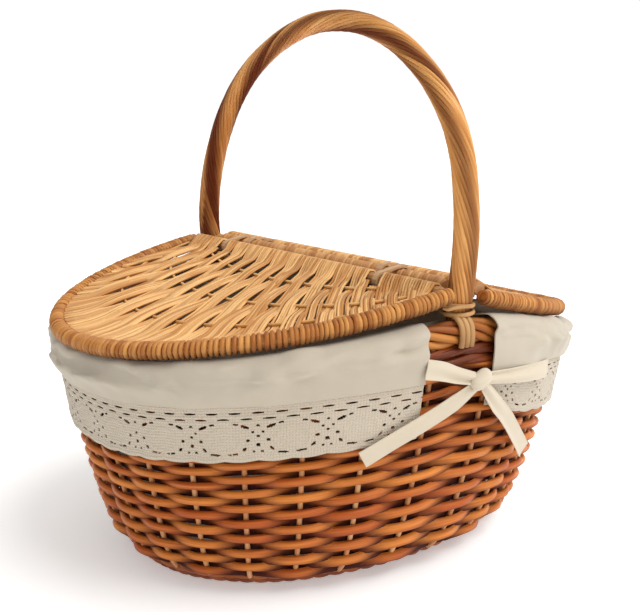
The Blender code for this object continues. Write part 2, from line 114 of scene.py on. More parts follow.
def rods(name, runs, sizes, closed=False, sides=2, tall=None, recess=None, under=0.0):
    """Round rods along runs of points, made as bevelled curves and turned into one mesh.

    Each rod gets a tone of its own, a grain that runs along it, and painted shade where it lies deep in the
    weave.
    Under paints shade on the lower half of the rods, and tall makes them taller than wide.
    """
    curve = bpy.data.curves.new(name, "CURVE")
    curve.dimensions = "3D"
    curve.bevel_depth = 1.0
    curve.bevel_resolution = sides
    curve.use_fill_caps = True
    for run, size in zip(runs, sizes):
        spline = curve.splines.new("POLY")
        spline.points.add(len(run) - 1)
        places = np.column_stack([run, np.ones(len(run))]).astype(np.float32)
        spline.points.foreach_set("co", places.ravel())
        spline.points.foreach_set("radius", np.broadcast_to(size, len(run)).astype(np.float32))
        spline.use_cyclic_u = closed
    new_item(name, curve)
    bpy.ops.object.convert(target="MESH")
    item = bpy.context.object
    mark_rods(item.data, runs, sizes, closed, 4 + 2 * sides, tall, recess, under)
    if not closed:
        edit_whole(lambda: bpy.ops.mesh.remove_doubles(threshold=0.00001))
    bpy.ops.object.shade_smooth_by_angle(angle=math.radians(60))
    return item


def mark_rods(mesh, runs, sizes, closed, ring, tall, recess, under):
    """Writes each rod's tone, grain and painted shade on its points ring by ring, and makes it as tall as
    asked.
    """
    places = np.zeros(len(mesh.vertices) * 3, np.float32)
    mesh.vertices.foreach_get("co", places)
    places = places.reshape(-1, 3)
    tones, grains, shade_values = np.zeros(len(places)), np.zeros((len(places), 3)), np.zeros(len(places))
    angles = np.array(full_turn(ring))
    start = 0
    for number, (run, size) in enumerate(zip(runs, sizes)):
        run = np.asarray(run, float)
        steps = np.linalg.norm(np.diff(run, axis=0), axis=1)
        along = np.concatenate([[0.0], np.cumsum(steps)]) + chance.random() * 10
        depth = np.zeros(len(run)) if recess is None else np.asarray(recess[number], float)
        order = list(range(len(run))) if closed else [len(run) - 1, 0] + list(range(len(run)))
        tone = chance.random()
        reach = np.broadcast_to(size, len(run))
        for point in order:
            block = slice(start, start + ring)
            above = places[block, 2] - places[block, 2].mean()
            if tall is not None:
                places[block, 2] += above * (tall[number][point] - 1)
            tones[block] = tone
            # Painted shade: how deep the rod lies in the weave, and more of it on the rod's lower half
            shade_values[block] = np.clip(depth[point] - under * above / reach[point], 0, 1)
            grains[block, 0] = along[point]
            grains[block, 1] = np.cos(angles) * reach[point]
            grains[block, 2] = np.sin(angles) * reach[point] + tone
            start += ring
    mesh.vertices.foreach_set("co", places.ravel())
    put_attribute(mesh, "tone", "FLOAT", tones)
    put_attribute(mesh, "grain", "FLOAT_VECTOR", grains)
    put_attribute(mesh, "recess", "FLOAT", shade_values)
    mesh.update()


def feed(tree, socket, value):
    """Links a socket to another one, or sets its own value."""
    if isinstance(value, bpy.types.NodeSocket):
        tree.links.new(value, socket)
    else:
        socket.default_value = value


def new_node(tree, kind, inputs=None, **settings):
    """A shader node with its settings, and what feeds each of its inputs."""
    node = tree.nodes.new("ShaderNode" + kind)
    for name, value in settings.items():
        setattr(node, name, value)
    for name, value in (inputs or {}).items():
        feed(tree, node.inputs[name], value)
    return node


def maths(tree, kind, first, second):
    return new_node(tree, "Math", {0: first, 1: second}, operation=kind).outputs[0]


def mixed(tree, share, first, second):
    """A colour that goes from the first to the second as the share goes from 0 to 1."""
    inputs = {"Factor": share, "A": first, "B": second}
    return new_node(tree, "Mix", inputs, data_type="RGBA").outputs["Result"]


def noise_in(tree, vector, stretch, detail):
    """Noise at a vector stretched along each axis."""
    place = new_node(tree, "Mapping", {"Scale": stretch, "Vector": vector}).outputs["Vector"]
    return new_node(tree, "TexNoise", {"Scale": 1.0, "Detail": detail, "Vector": place}).outputs["Fac"]


def bumped(tree, shader, height, strength, distance):
    lift = new_node(tree, "Bump", {"Strength": strength, "Distance": distance, "Height": height})
    feed(tree, shader["Normal"], lift.outputs["Normal"])


def new_group(name, inputs, outputs):
    """An empty node group, what it is given and what it returns. Its sockets are named with their kinds."""
    tree = bpy.data.node_groups.new(name, "ShaderNodeTree")
    for direction, sockets in (("INPUT", inputs), ("OUTPUT", outputs)):
        for socket, kind in sockets.items():
            tree.interface.new_socket(socket, in_out=direction, socket_type="NodeSocket" + kind)
    return tree, tree.nodes.new("NodeGroupInput").outputs, tree.nodes.new("NodeGroupOutput").inputs


def new_material(name, constants):
    """A material, its node tree and its shader's inputs, with these constants set on them."""
    material = bpy.data.materials.new(name)
    material.use_nodes = True
    shader = material.node_tree.nodes["Principled BSDF"].inputs
    for socket, value in constants.items():
        shader[socket].default_value = value
    return material, material.node_tree, shader


def rod_group():
    """Node group: a willow rod's colour with its painted shade, its roughness and grain height, from its
    points.
    """
    tree, given, result = new_group(
        "willow rod",
        {"Light": "Color", "Dark": "Color", "Painted shade": "Color", "Spread": "Float", "Fineness": "Float"},
        {"Colour": "Color", "Roughness": "Float", "Height": "Float"})
    tone, grain, recess = (new_node(tree, "Attribute", attribute_name=name).outputs
                           for name in ("tone", "grain", "recess"))
    streaks = noise_in(tree, grain["Vector"], (22.0, 950.0, 950.0), 3.0)
    patches = noise_in(tree, grain["Vector"], (22.0, 60.0, 60.0), 2.0)
    darkness = 0.5
    for pattern, strength in ((tone["Fac"], given["Spread"]), (patches, 1.5),
                              (streaks, maths(tree, "MULTIPLY", 1.6, given["Fineness"]))):
        part = maths(tree, "MULTIPLY", maths(tree, "SUBTRACT", pattern, 0.5), strength)
        darkness = maths(tree, "ADD", part, darkness)
    limited = new_node(tree, "Clamp", {"Value": darkness}).outputs[0]
    body = mixed(tree, limited, given["Light"], given["Dark"])
    # Painted shade: the colour goes over to the shade colour where the points are marked as lying in shade
    feed(tree, result["Colour"], mixed(tree, recess["Fac"], body, given["Painted shade"]))
    rough = maths(tree, "ADD", maths(tree, "MULTIPLY", streaks, 0.25), 0.30)
    dull = maths(tree, "MULTIPLY", recess["Fac"], 0.45)
    feed(tree, result["Roughness"], maths(tree, "ADD", rough, dull))
    feed(tree, result["Height"], streaks)
    return tree


ROD_GROUP = rod_group()


def willow(name, light, dark, shade_colour, spread=0.9, fineness=0.6, bump=0.25):
    """Varnished willow, with its own colours for pale rods, dark rods and the painted shade in the weave's
    hollows.
    """
    material, tree, shader = new_material(name, {"Specular IOR Level": 0.28})
    inputs = {"Light": (*light, 1.0), "Dark": (*dark, 1.0), "Painted shade": (*shade_colour, 1.0), "Spread": spread,
              "Fineness": fineness}
    rod = new_node(tree, "Group", inputs, node_tree=ROD_GROUP)
    feed(tree, shader["Base Color"], rod.outputs["Colour"])
    feed(tree, shader["Roughness"], rod.outputs["Roughness"])
    bumped(tree, shader, rod.outputs["Height"], bump, 0.0006)
    return material


# The third colour of each willow is its painted shade.
BODY_WILLOW = willow("body_willow", (0.72, 0.235, 0.036), (0.46, 0.092, 0.011), (0.045, 0.004, 0.001),
                     fineness=1.0, bump=0.5)


def dress(item, material, body, slot, *nodes):
    """Gives a piece its material, the body it moves with, and the CAD nodes that it stands for. Its slot is
    not used.
    """
    item.data.materials.clear()
    item.data.materials.append(material)
    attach(item, body)
    if nodes:
        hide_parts(*nodes)
    return item


def rod_piece(name, runs, sizes, material, slot, *nodes, body="basket", **how):
    """Rods made and dressed. A single size goes for them all."""
    sizes = [sizes] * len(runs) if isinstance(sizes, float) else sizes
    return dress(rods(name, runs, sizes, **how), material, body, slot, *nodes)


def base_rows():
    """Oval rounds woven over and under the spokes, from the rim of the base inwards."""
    runs = []
    for number in range(BASE_ROUNDS):
        inset = BASE_PITCH * number
        half = tuple(size - inset for size in BASE_EDGE)
        run = []
        for turn in full_turn(STAKES * 4):
            wave = math.cos(math.pi * (STAKES * turn / (2 * math.pi) - 0.5 + number))
            run.append((*oval_point(turn, half), BASE_MIDDLE + BASE_ROD * wave))
        runs.append(run)
    return runs


def base_spokes():
    """Spokes that run from the middle of the base out to its rim."""
    runs = []
    for step in range(STAKES):
        turn = 2 * math.pi * (step + 0.5) / STAKES
        tip = oval_point(turn, BASE_EDGE)
        foot = oval_point(turn, tuple(size - SPOKE_LENGTH for size in BASE_EDGE))
        runs.append([(foot[0] * 0.9, foot[1], BASE_MIDDLE), (*tip, BASE_MIDDLE)])
    return runs


rod_piece("woven_base", base_rows(), BASE_ROD, BODY_WILLOW, "body_willow", "base_weave", closed=True,
          sides=1)
rod_piece("base_spokes", base_spokes(), BASE_ROD, BODY_WILLOW, "body_willow", sides=1)


# ---- foot wale, top wale and rolled border --------------------------------------------------------
# Ropes of willow worked round the oval: the foot that the basket stands on, a wale under the border that
# locks the weave, and the border itself, made by rolling the stakes' ends down behind one another.
BORDER_TOP = 0.190
BORDER_DROP = {-1: 0.029, 1: 0.038}
BORDER_DROP_POWER = 1.4
BORDER_SIZE = (0.015, 0.017)
WALE_HEIGHT, WALE_INSET = 0.012, 0.0048


def border_top(x):
    """The border dips from the handle towards each end."""
    side = -1 if x < 0 else 1
    return BORDER_TOP - BORDER_DROP[side] * min(1.0, abs(x) / RIM_HALF[0]) ** BORDER_DROP_POWER


def border_under(x):
    return border_top(x) - BORDER_SIZE[1]


def rope_round(path_at, strands, reach, lift, turns, steps):
    """Strands twisted round an oval path, which path_at gives as half sizes and height for each angle."""
    runs = []
    for strand in range(strands):
        run = []
        for turn in full_turn(steps):
            half, z = path_at(turn)
            twist = turns * turn + 2 * math.pi * strand / strands
            out = math.cos(twist) * reach
            run.append((*oval_point(turn, tuple(size + out for size in half)), z + math.sin(twist) * lift))
        runs.append(run)
    return runs


def wale_path(share):
    """A path at a share of the top wale's height."""
    def path(turn):
        x = oval_point(turn, RIM_HALF)[0]
        z = border_under(x) - WALE_HEIGHT * (1 - share)
        return wall_half(z, -WALE_INSET), z
    return path


def border_path(turn):
    x = oval_point(turn, RIM_HALF)[0]
    return tuple(size - BORDER_SIZE[0] / 2 for size in RIM_HALF), border_top(x) - BORDER_SIZE[1] / 2


FOOT_WILLOW = willow("foot_willow", (0.40, 0.11, 0.026), (0.20, 0.042, 0.010), (0.04, 0.01, 0.004))
foot_runs = []
for foot_half, foot_z in (((0.1375, 0.0982), 0.0044), ((0.1462, 0.1069), 0.0050), ((0.1505, 0.1117), 0.0098)):
    foot_runs += rope_round(lambda turn: (foot_half, foot_z), strands=3, reach=0.0021, lift=0.0019,
                            turns=-26, steps=336)
rod_piece("foot_wale_rods", foot_runs, 0.0024, FOOT_WILLOW, "body_willow", "foot_wale", closed=True, sides=1)

wale_runs = []
for wale_share in (0.24, 0.78):
    wale_runs += rope_round(wale_path(wale_share), strands=3, reach=0.0021, lift=0.0016, turns=13, steps=336)
# The top wale's willow is a darker copy of the wall's, with the shade under the border and skirts painted
# into its colour.
SHADED_WALE_WILLOW = willow("shaded_wale_willow", (0.24, 0.05, 0.011), (0.10, 0.018, 0.004), (0.03, 0.006, 0.002))
rod_piece("top_wale_rods", wale_runs, 0.0023, SHADED_WALE_WILLOW, "body_willow", "top_wale", closed=True, sides=1)

BORDER_WILLOW = willow("border_willow", (0.56, 0.215, 0.045), (0.30, 0.08, 0.014), (0.06, 0.012, 0.003))
border_runs = rope_round(border_path, strands=6, reach=0.0050, lift=0.0058, turns=-12, steps=392)
# The border's rods carry painted shade on their lower halves.
rod_piece("rolled_border", border_runs, 0.0027, BORDER_WILLOW, "border_willow", "top_border", closed=True,
          under=0.35)


# ---- stakes ---------------------------------------------------------------------------------------
# Upright willow rods, pushed into the base and bent up, that the wall is woven round. They are peeled, so
# they show paler than the rods that cross them, and their tops go into the border.
STAKE_SIZE, STAKE_FOOT = 0.0018, 0.0095
ROD_THICK = 0.0024
WEAVE_SWAY = STAKE_SIZE + ROD_THICK
WEAVE_INSET = WEAVE_SWAY + ROD_THICK

stake_runs = []
for stake in range(STAKES):
    stake_turn = 2 * math.pi * (stake + 0.5) / STAKES
    stake_top = border_under(oval_point(stake_turn, RIM_HALF)[0]) + 0.003
    heights = [STAKE_FOOT + (stake_top - STAKE_FOOT) * (step / 23) ** 1.6 for step in range(24)]
    stake_runs.append([(*oval_point(stake_turn, wall_half(height, -WEAVE_INSET + 0.0006)), height)
                       for height in heights])
STAKE_WILLOW = willow("stake_willow", (0.70, 0.38, 0.18), (0.50, 0.21, 0.08), (0.2, 0.07, 0.03))
rod_piece("stakes", stake_runs, STAKE_SIZE, STAKE_WILLOW, "body_willow", "stake_frame")


# ---- woven wall -----------------------------------------------------------------------------------
# Plain randing: each round passes in front of one stake and behind the next, and the round above does the
# opposite. Whole buff willow rods, thick at the foot, beaten down flat on one another and varnished.
ROWS = 24
WALL_FOOT = 0.0160
ROW_CROWD = 0.18
ROD_FILL, ROD_SPREAD = 0.59, 0.10
BACK_DROP = 0.0021
STEPS_PER_STAKE = 9


def row_height(share, x):
    """Rounds lie wider apart near the foot, where the rods are thick."""
    high = border_under(x) - WALE_HEIGHT - 0.001
    return WALL_FOOT + (high - WALL_FOOT) * share * (1 + ROW_CROWD - ROW_CROWD * share)


def wall_rows():
    runs, sizes, shade_values, talls = [], [], [], []
    for row in range(ROWS):
        run, size, depth, tall = [], [], [], []
        share, half_row = row / (ROWS - 1), 0.5 / (ROWS - 1)
        drift, wobble = chance.random() * 6, chance.uniform(-0.0004, 0.0004)
        for turn in full_turn(STAKES * STEPS_PER_STAKE):
            x = oval_point(turn, RIM_HALF)[0]
            stake_count = STAKES * turn / (2 * math.pi) - 0.5
            wave = math.cos(math.pi * (stake_count + row))
            uneven = math.sin(3 * turn + drift) + math.sin(7 * turn + 2.3 * drift)
            z = row_height(share, x) + wobble + 0.00035 * uneven - BACK_DROP * (1 - wave) / 2
            sway = WEAVE_SWAY * wave * (1 + 0.05 * math.sin(11 * turn + drift))
            pitch = row_height(share + half_row, x) - row_height(share - half_row, x)
            run.append((*oval_point(turn, wall_half(z, -WEAVE_INSET + sway)), z))
            size.append(ROD_THICK * (1 + 0.07 * math.sin(5 * turn + 3 * drift)))
            tall.append((ROD_FILL - ROD_SPREAD * wave) * pitch / ROD_THICK)
            # Painted shade: darker where a round passes behind a stake, in the top rounds under the wale and
            # border, and in the bottom rounds near the floor
            shade = 0.25 * max(0.0, share - 0.85) / 0.15 + 0.30 * max(0.0, 0.3 - share) / 0.3
            depth.append(clamp(0.40 - 0.70 * wave + shade))
        for whole, one in ((runs, run), (sizes, size), (shade_values, depth), (talls, tall)):
            whole.append(one)
    return runs, sizes, shade_values, talls


wall_runs, wall_sizes, wall_shading, wall_talls = wall_rows()
# The wall's rods also get painted shade on their lower halves.
rod_piece("woven_wall", wall_runs, wall_sizes, BODY_WILLOW, "body_willow", "wall_weave", closed=True,
          tall=wall_talls, recess=wall_shading, under=0.6)


# ---- handle ---------------------------------------------------------------------------------------
# A bow of thin rods twisted like a rope over a thick core. Its two tails are pushed down inside the border
# beside the stakes, and cane is wound round each foot.
NEAR_TAIL = [(-0.1550, 0.135), (-0.1565, 0.150), (-0.1575, 0.172), (-0.1590, 0.186)]
ARCH = [(-0.1635, 0.1975), (-0.1665, 0.208), (-0.1680, 0.2220), (-0.1695, 0.2380), (-0.1697, 0.2560),
        (-0.1677, 0.2740), (-0.1640, 0.2925), (-0.1560, 0.3120), (-0.1425, 0.3310), (-0.1235, 0.3490),
        (-0.0980, 0.3655), (-0.0660, 0.3780), (-0.0320, 0.3838), (0.0030, 0.3838), (0.0360, 0.3775),
        (0.0680, 0.3665), (0.0960, 0.3520), (0.1190, 0.3345), (0.1370, 0.3150), (0.1510, 0.2945),
        (0.1612, 0.2740), (0.1680, 0.2540), (0.1715, 0.2340), (0.1710, 0.2160), (0.1665, 0.2000)]
FAR_TAIL = [(0.1595, 0.186), (0.1578, 0.172), (0.1565, 0.150), (0.1550, 0.135)]
HANDLE_REACH = 0.0067
HANDLE_STRANDS = 19
HANDLE_STRAND = 0.00150
TWIST_LENGTH = 0.165
BOW_MIDDLE = Vector((0.0, 0.0, 0.2200))


def smooth_line(points, steps):
    """Points on one smooth curve through the given ones, with that many steps between each pair."""
    points = [Vector(point) for point in points]
    padded = [2 * points[0] - points[1]] + points + [2 * points[-1] - points[-2]]
    line = []
    for before, here, after, beyond in zip(padded, padded[1:], padded[2:], padded[3:]):
        for step in range(steps):
            t = step / steps
            line.append(0.5 * (2 * here + (after - before) * t
                               + (2 * before - 5 * here + 4 * after - beyond) * t ** 2
                               + (3 * here - before - 3 * after + beyond) * t ** 3))
    return line + [points[-1]]


def handle_line():
    """The bow's centre line, and how wide it is at each point: thicker at its feet, thin in its tails."""
    line = smooth_line([(0.0, y, z) for y, z in NEAR_TAIL + ARCH + FAR_TAIL], 5)
    widths = []
    for point in line:
        bow = 1.03 - 0.09 * clamp((point.z - 0.24) / 0.14)
        tail = clamp((point.z - 0.186) / 0.010)
        far_leg = 0.10 * clamp((point.y - 0.06) / 0.08)
        widths.append((bow + far_leg) * (0.5 + 0.5 * tail))
    return line, widths


def handle_twist(line, widths):
    """The strands wound round the handle's line, and their painted shade: darker on the bow's inside, the far
    leg and the feet.
    """
    runs, shading = [[] for _ in range(HANDLE_STRANDS)], [[] for _ in range(HANDLE_STRANDS)]
    travelled = 0.0
    for step, point in enumerate(line):
        travelled += (point - line[max(step - 1, 0)]).length
        run = (line[min(step + 1, len(line) - 1)] - line[max(step - 1, 0)]).normalized()
        side = Vector((1, 0, 0))
        up = run.cross(side)
        # Painted shade: darker on the far leg and towards the feet, and on the side of each strand that faces
        # the bow's inside
        shade = 0.14 + 0.30 * clamp((point.y - 0.02) / 0.10) + 0.30 * clamp((0.28 - point.z) / 0.07)
        for strand in range(HANDLE_STRANDS):
            angle = 2 * math.pi * (strand / HANDLE_STRANDS - travelled / TWIST_LENGTH)
            out = side * math.cos(angle) + up * math.sin(angle)
            runs[strand].append(point + out * HANDLE_REACH * widths[step])
            inner = out.dot((BOW_MIDDLE - point).normalized())
            shading[strand].append(clamp(shade + 0.60 * inner))
    return runs, shading


HANDLE_WILLOW = willow("handle_willow", (0.82, 0.43, 0.14), (0.54, 0.21, 0.045), (0.13, 0.024, 0.003),
                       spread=0.5, fineness=0.9)
bow_line, bow_widths = handle_line()
handle_runs, handle_shading = handle_twist(bow_line, bow_widths)
handle_sizes = [[HANDLE_STRAND * width for width in bow_widths]] * HANDLE_STRANDS
rod_piece("handle_strands", handle_runs, handle_sizes, HANDLE_WILLOW, "handle_willow", "handle_bow", sides=1,
          recess=handle_shading)
# The core is painted mostly in shade, as it shows only in the gaps between the strands.
core_sizes = [[(HANDLE_REACH - 0.0007) * width for width in bow_widths]]
rod_piece("handle_core", [bow_line], core_sizes, HANDLE_WILLOW, "handle_willow",
          recess=[[0.8] * len(bow_line)])


# ---- cane at the handle's feet --------------------------------------------------------------------
# Split cane, paler than the willow: two turns round each foot, whose end runs off to the hinge, and three
# strips side by side that strap the foot down over the border.
CANE = willow("pale_cane", (0.58, 0.35, 0.15), (0.40, 0.20, 0.07), (0.20, 0.07, 0.02), spread=0.6)
ENDS = {"near": -1, "far": 1}
FOOT_TURNS = (-0.0022, 0.0030)
CANE_SIZE = 0.0012
STRAP_X, STRAP_PITCH, STRAP_SIZE, STRAP_WIDER = -0.0035, 0.0031, 0.0016, 1.35
# Painted shade on the straps: darkest at both ends, lightest in the middle.
STRAP_SHADE = [[0.5 - 0.5 * math.sin(math.pi * step / 24) for step in range(25)]] * 3


def foot_turns(end_name, end):
    """Each turn starts as a torus round the foot, flattened to a strip and tipped a little."""
    foot_y, foot_z = ARCH[0] if end < 0 else ARCH[-1]
    turns = []
    for number, lift in enumerate(FOOT_TURNS):
        bpy.ops.object.select_all(action="DESELECT")
        bpy.ops.mesh.primitive_torus_add(
            major_segments=40, minor_segments=10, major_radius=0.0102, minor_radius=CANE_SIZE,
            location=(0.0, foot_y, foot_z + lift - 0.0020))
        turn = bpy.context.object
        middle, tip = turn.location, math.radians(3 - 6 * number)
        edit_whole(lambda: bpy.ops.transform.resize(value=(1.0, 1.0, 1.2), center_override=middle))
        edit_whole(lambda: bpy.ops.transform.rotate(value=tip, orient_axis="Y", center_override=middle))
        bpy.ops.object.transform_apply(location=True, rotation=True, scale=True)
        turns.append(turn)
    bpy.ops.object.select_all(action="DESELECT")
    for turn in turns:
        turn.select_set(True)
    bpy.context.view_layer.objects.active = turns[0]
    bpy.ops.object.join()
    lashing = bpy.context.object
    lashing.name = f"{end_name}_foot_turns"
    mark_whole(lashing.data)
    bpy.ops.object.shade_smooth()
    return lashing


def mark_whole(mesh):
    """Writes the rod attributes on a piece that wasn't made as a rod, with its grain along Z."""
    places = np.array([vertex.co for vertex in mesh.vertices])
    put_attribute(mesh, "tone", "FLOAT", np.full(len(places), 0.35))
    put_attribute(mesh, "grain", "FLOAT_VECTOR", places[:, [2, 0, 1]] * (1.0, 0.5, 0.5))
    put_attribute(mesh, "recess", "FLOAT", np.zeros(len(places)))


def strap_runs(end):
    """Three strips that come down from the foot and lie over the border's outer face."""
    runs = []
    for strip in (-1, 0, 1):
        x = STRAP_X + STRAP_PITCH * strip
        line = [(-0.0125, 0.0045), (-0.0095, 0.0030), (-0.0045, 0.0012), (-0.0008, -0.0018),
                (0.0010, -0.0062), (0.0012, -0.0120), (0.0004, -0.0168)]
        points = [(x, end * (RIM_HALF[1] + out), BORDER_TOP + drop) for out, drop in line]
        runs.append(smooth_line(points, 4))
    return runs


for end_name, end in ENDS.items():
    lashing = foot_turns(end_name, end)
    dress(lashing, CANE, "basket", "pale_cane", f"{end_name}_handle_lashing")
    strap = rods(f"{end_name}_foot_strap", strap_runs(end), [STRAP_SIZE] * 3, recess=STRAP_SHADE)
    edit_whole(lambda: bpy.ops.transform.resize(value=(STRAP_WIDER, 1.0, 1.0),
                                                center_override=(STRAP_X, 0.0, BORDER_TOP)))
    dress(strap, CANE, "basket", "pale_cane", f"{end_name}_border_strap")
    hook_line = smooth_line([(0.0, end * 0.1742, 0.1985), (-0.0100, end * 0.1738, 0.1988),
                             (-0.0160, end * 0.1730, 0.1982), (-0.0185, end * 0.1705, 0.1988)], 5)
    rod_piece(f"{end_name}_cane_tail", [hook_line], CANE_SIZE, CANE, "pale_cane")


# ---- hinge bar and its loops ----------------------------------------------------------------------
# A straight peeled stick lashed between the handle's feet and wound with thin willow. Cane loops hold each
# lid's own hinge rod, a smooth peeled stick too, beside it.
def solid_wood(name, light, dark, stretch):
    """Willow for plain turned sticks and loops, with grain along one axis of the object."""
    material, tree, shader = new_material(name, {"Roughness": 0.45})
    grain = noise_in(tree, new_node(tree, "TexCoord").outputs["Object"], stretch, 4.0)
    feed(tree, shader["Base Color"], mixed(tree, grain, (*light, 1.0), (*dark, 1.0)))
    bumped(tree, shader, grain, 0.3, 0.0005)
    return material


STICK = solid_wood("peeled_stick", (0.62, 0.34, 0.14), (0.34, 0.14, 0.045), (700.0, 25.0, 700.0))
LOOP_CANE = solid_wood("loop_cane", (0.74, 0.50, 0.28), (0.55, 0.30, 0.13), (150.0, 900.0, 150.0))
SIDES = {"left": -1, "right": 1}


def refinish(node, material):
    """A new finish on a CAD node whose shape stays."""
    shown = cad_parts[node]
    shown.data.materials.clear()
    shown.data.materials.append(material)


BAR_ENDS = (-0.1530, 0.1525)
BAR_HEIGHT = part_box("crossbar")[0][2] + 0.0075
BAR_WRAP = 0.0030
BAR_REACH = 0.0059
BAR_LEAN = 0.62


def bar_wraps():
    """Turns of thin willow wound round the bar on the slant, side by side."""
    runs = []
    for number in range(int((BAR_ENDS[1] - BAR_ENDS[0] - 0.012) / BAR_WRAP)):
        middle = BAR_ENDS[0] + 0.006 + number * BAR_WRAP + chance.uniform(-0.0003, 0.0003)
        runs.append([(math.cos(angle) * BAR_REACH, middle + BAR_LEAN * math.cos(angle) * BAR_REACH,
                      BAR_HEIGHT + math.sin(angle) * BAR_REACH)
                     for angle in full_turn(12)])
    return runs


BAR_WILLOW = willow("bar_willow", (0.70, 0.38, 0.14), (0.44, 0.18, 0.05), (0.2, 0.07, 0.02), spread=1.0)
rod_piece("hinge_bar_wraps", bar_wraps(), 0.00155, BAR_WILLOW, "handle_willow", "crossbar", closed=True,
          sides=1)
rod_piece("hinge_bar", [[(0.0, y, BAR_HEIGHT) for y in BAR_ENDS]], 0.0058, BAR_WILLOW, "handle_willow")
for side_name in SIDES:
    refinish(f"{side_name}_lid_hinge_rod", STICK)
    for end_name in ENDS:
        refinish(f"{side_name}_hinge_loop_{end_name}", LOOP_CANE)


# ---- lids -----------------------------------------------------------------------------------------
# Each half-oval lid is a bent rim stick wrapped all round with thin willow, three bent cross rods, and fine
# rods that start round the hinge rod and fan out, over and under the cross rods, to the rim.
HINGE_X, HINGE_Z, HINGE_ROD = 0.0165, 0.2070, 0.0045
LID_HALF = (0.197, 0.173)
LID_TILT = {-1: math.radians(11.5), 1: math.radians(14.2)}
CROSS_RODS = ((0.052, 0.140), (0.098, 0.158), (0.146, 0.167))
CROSS_ROD = 0.0011
STRAND = 0.00140
WRAP_STRAND = 0.00118
# A strand leans this far towards the near side, and bends at this share of its way to the rim.
STRAND_LEAN, BEND_AT, TIP_INSET = math.radians(31), 0.45, 0.0050
# Degrees round the rim where it ends: in the middle, and how that grows with its place at the hinge.
FAN_MIDDLE, FAN_RATE, FAN_BEND, FAN_LIMIT = 33, 79, -31, 82
BUNDLES = 31
BUNDLE_PITCH = 0.0104
# A bundle's strands: how far each lies from its middle at the hinge and at the rim, and where it starts.
BUNDLE_STRANDS = ((-0.0039, -0.0042, 0), (-0.0013, -0.0014, 0), (0.0013, 0.0014, 0), (0.0039, 0.0042, 0),
                  (0.0, 0.0, 0.34), (0.0052, 0.0056, 0.60))
LOOP_Y = {-1: 0.105, 1: 0.090}
WRAP_PITCH = 0.0029
WRAP_REACH = 0.0046
RIM_END = 0.0045
RIM_DIP = {-1: 0.0006, 1: 0.0048}
RIM_CORE = 0.0040


def lid_place(side, points):
    """From the lid's own space, with +X out along the slope and +Z out of its top, to the frame."""
    half_turn = Matrix.Rotation(math.pi if side < 0 else 0.0, 4, "Z")
    slope = half_turn @ Matrix.Rotation(LID_TILT[side], 4, "Y")
    matrix = Matrix.Translation((side * HINGE_X, 0.0, HINGE_Z)) @ slope
    return [matrix @ Vector(point) for point in points]


def rim_point(side, angle, inset=0.0):
    """A point of the lid's half oval, at an angle from -90 to 90 degrees. Its hinge corners dip."""
    along = ((LID_HALF[0] - inset) * math.cos(angle) - HINGE_X) / math.cos(LID_TILT[side])
    dip = RIM_DIP[side] * abs(math.sin(angle)) ** 4
    return Vector((along, (LID_HALF[1] - inset) * math.sin(angle), -dip))


def rim_line(side, spacing):
    """The rim's centre line from one hinge corner to the other, in even steps."""
    limit = math.acos((HINGE_X - RIM_END) / LID_HALF[0])
    fine = [rim_point(side, limit * (2 * step / 600 - 1)) for step in range(601)]
    line, travelled = [fine[0]], 0.0
    for before, after in zip(fine, fine[1:]):
        travelled += (after - before).length
        if travelled >= spacing:
            line.append(after)
            travelled = 0.0
    return line


def rim_wraps(side):
    """Turns of thin willow round the rim stick, side by side, each a little out of true, with painted shade
    underneath.
    """
    line = rim_line(side, WRAP_PITCH)
    runs, sizes, shading = [], [], []
    for before, here, after in zip(line, line[1:], line[2:]):
        run = (after - before).normalized()
        out = Vector((run.y, -run.x, 0.0))
        lean = 0.0012 * chance.uniform(0.2, 1.0)
        from_end = min(len(runs), len(line) - 3 - len(runs))
        grown = WRAP_REACH * chance.uniform(0.97, 1.03) * min(1.0, 0.80 + 0.08 * from_end ** 0.5)
        shift = run * chance.uniform(-0.0003, 0.0003)
        turn = [here + shift + out * math.cos(angle) * grown + Vector((0, 0, math.sin(angle) * grown))
                + run * lean * math.sin(angle + 0.6) for angle in full_turn(12)]
        runs.append(lid_place(side, turn))
        sizes.append(WRAP_PITCH * chance.uniform(0.50, 0.60))
        shading.append([clamp(0.15 - 0.75 * math.sin(angle), 0.75) for angle in full_turn(12)])
    return runs, sizes, shading


def side_near(side):
    """In its own space the left lid's near side is at +Y, and the right lid's at -Y."""
    return 1 if side < 0 else -1


def strand_spot(side, y, t):
    """A strand that leaves the hinge at y leans to the near side and bends on its way to the rim."""
    near = y / 0.172 * side_near(side)
    angle = max(-FAN_LIMIT, min(FAN_LIMIT, FAN_MIDDLE + FAN_RATE * near + FAN_BEND * near ** 2))
    tip = rim_point(side, math.radians(angle) * side_near(side), inset=TIP_INSET)
    start = Vector((0.0, y, 0.0))
    lean = STRAND_LEAN * side_near(side)
    bend = start + Vector((math.cos(lean), math.sin(lean), 0.0)) * (tip - start).length * BEND_AT
    return start * (1 - t) ** 2 + bend * 2 * t * (1 - t) + tip * t ** 2


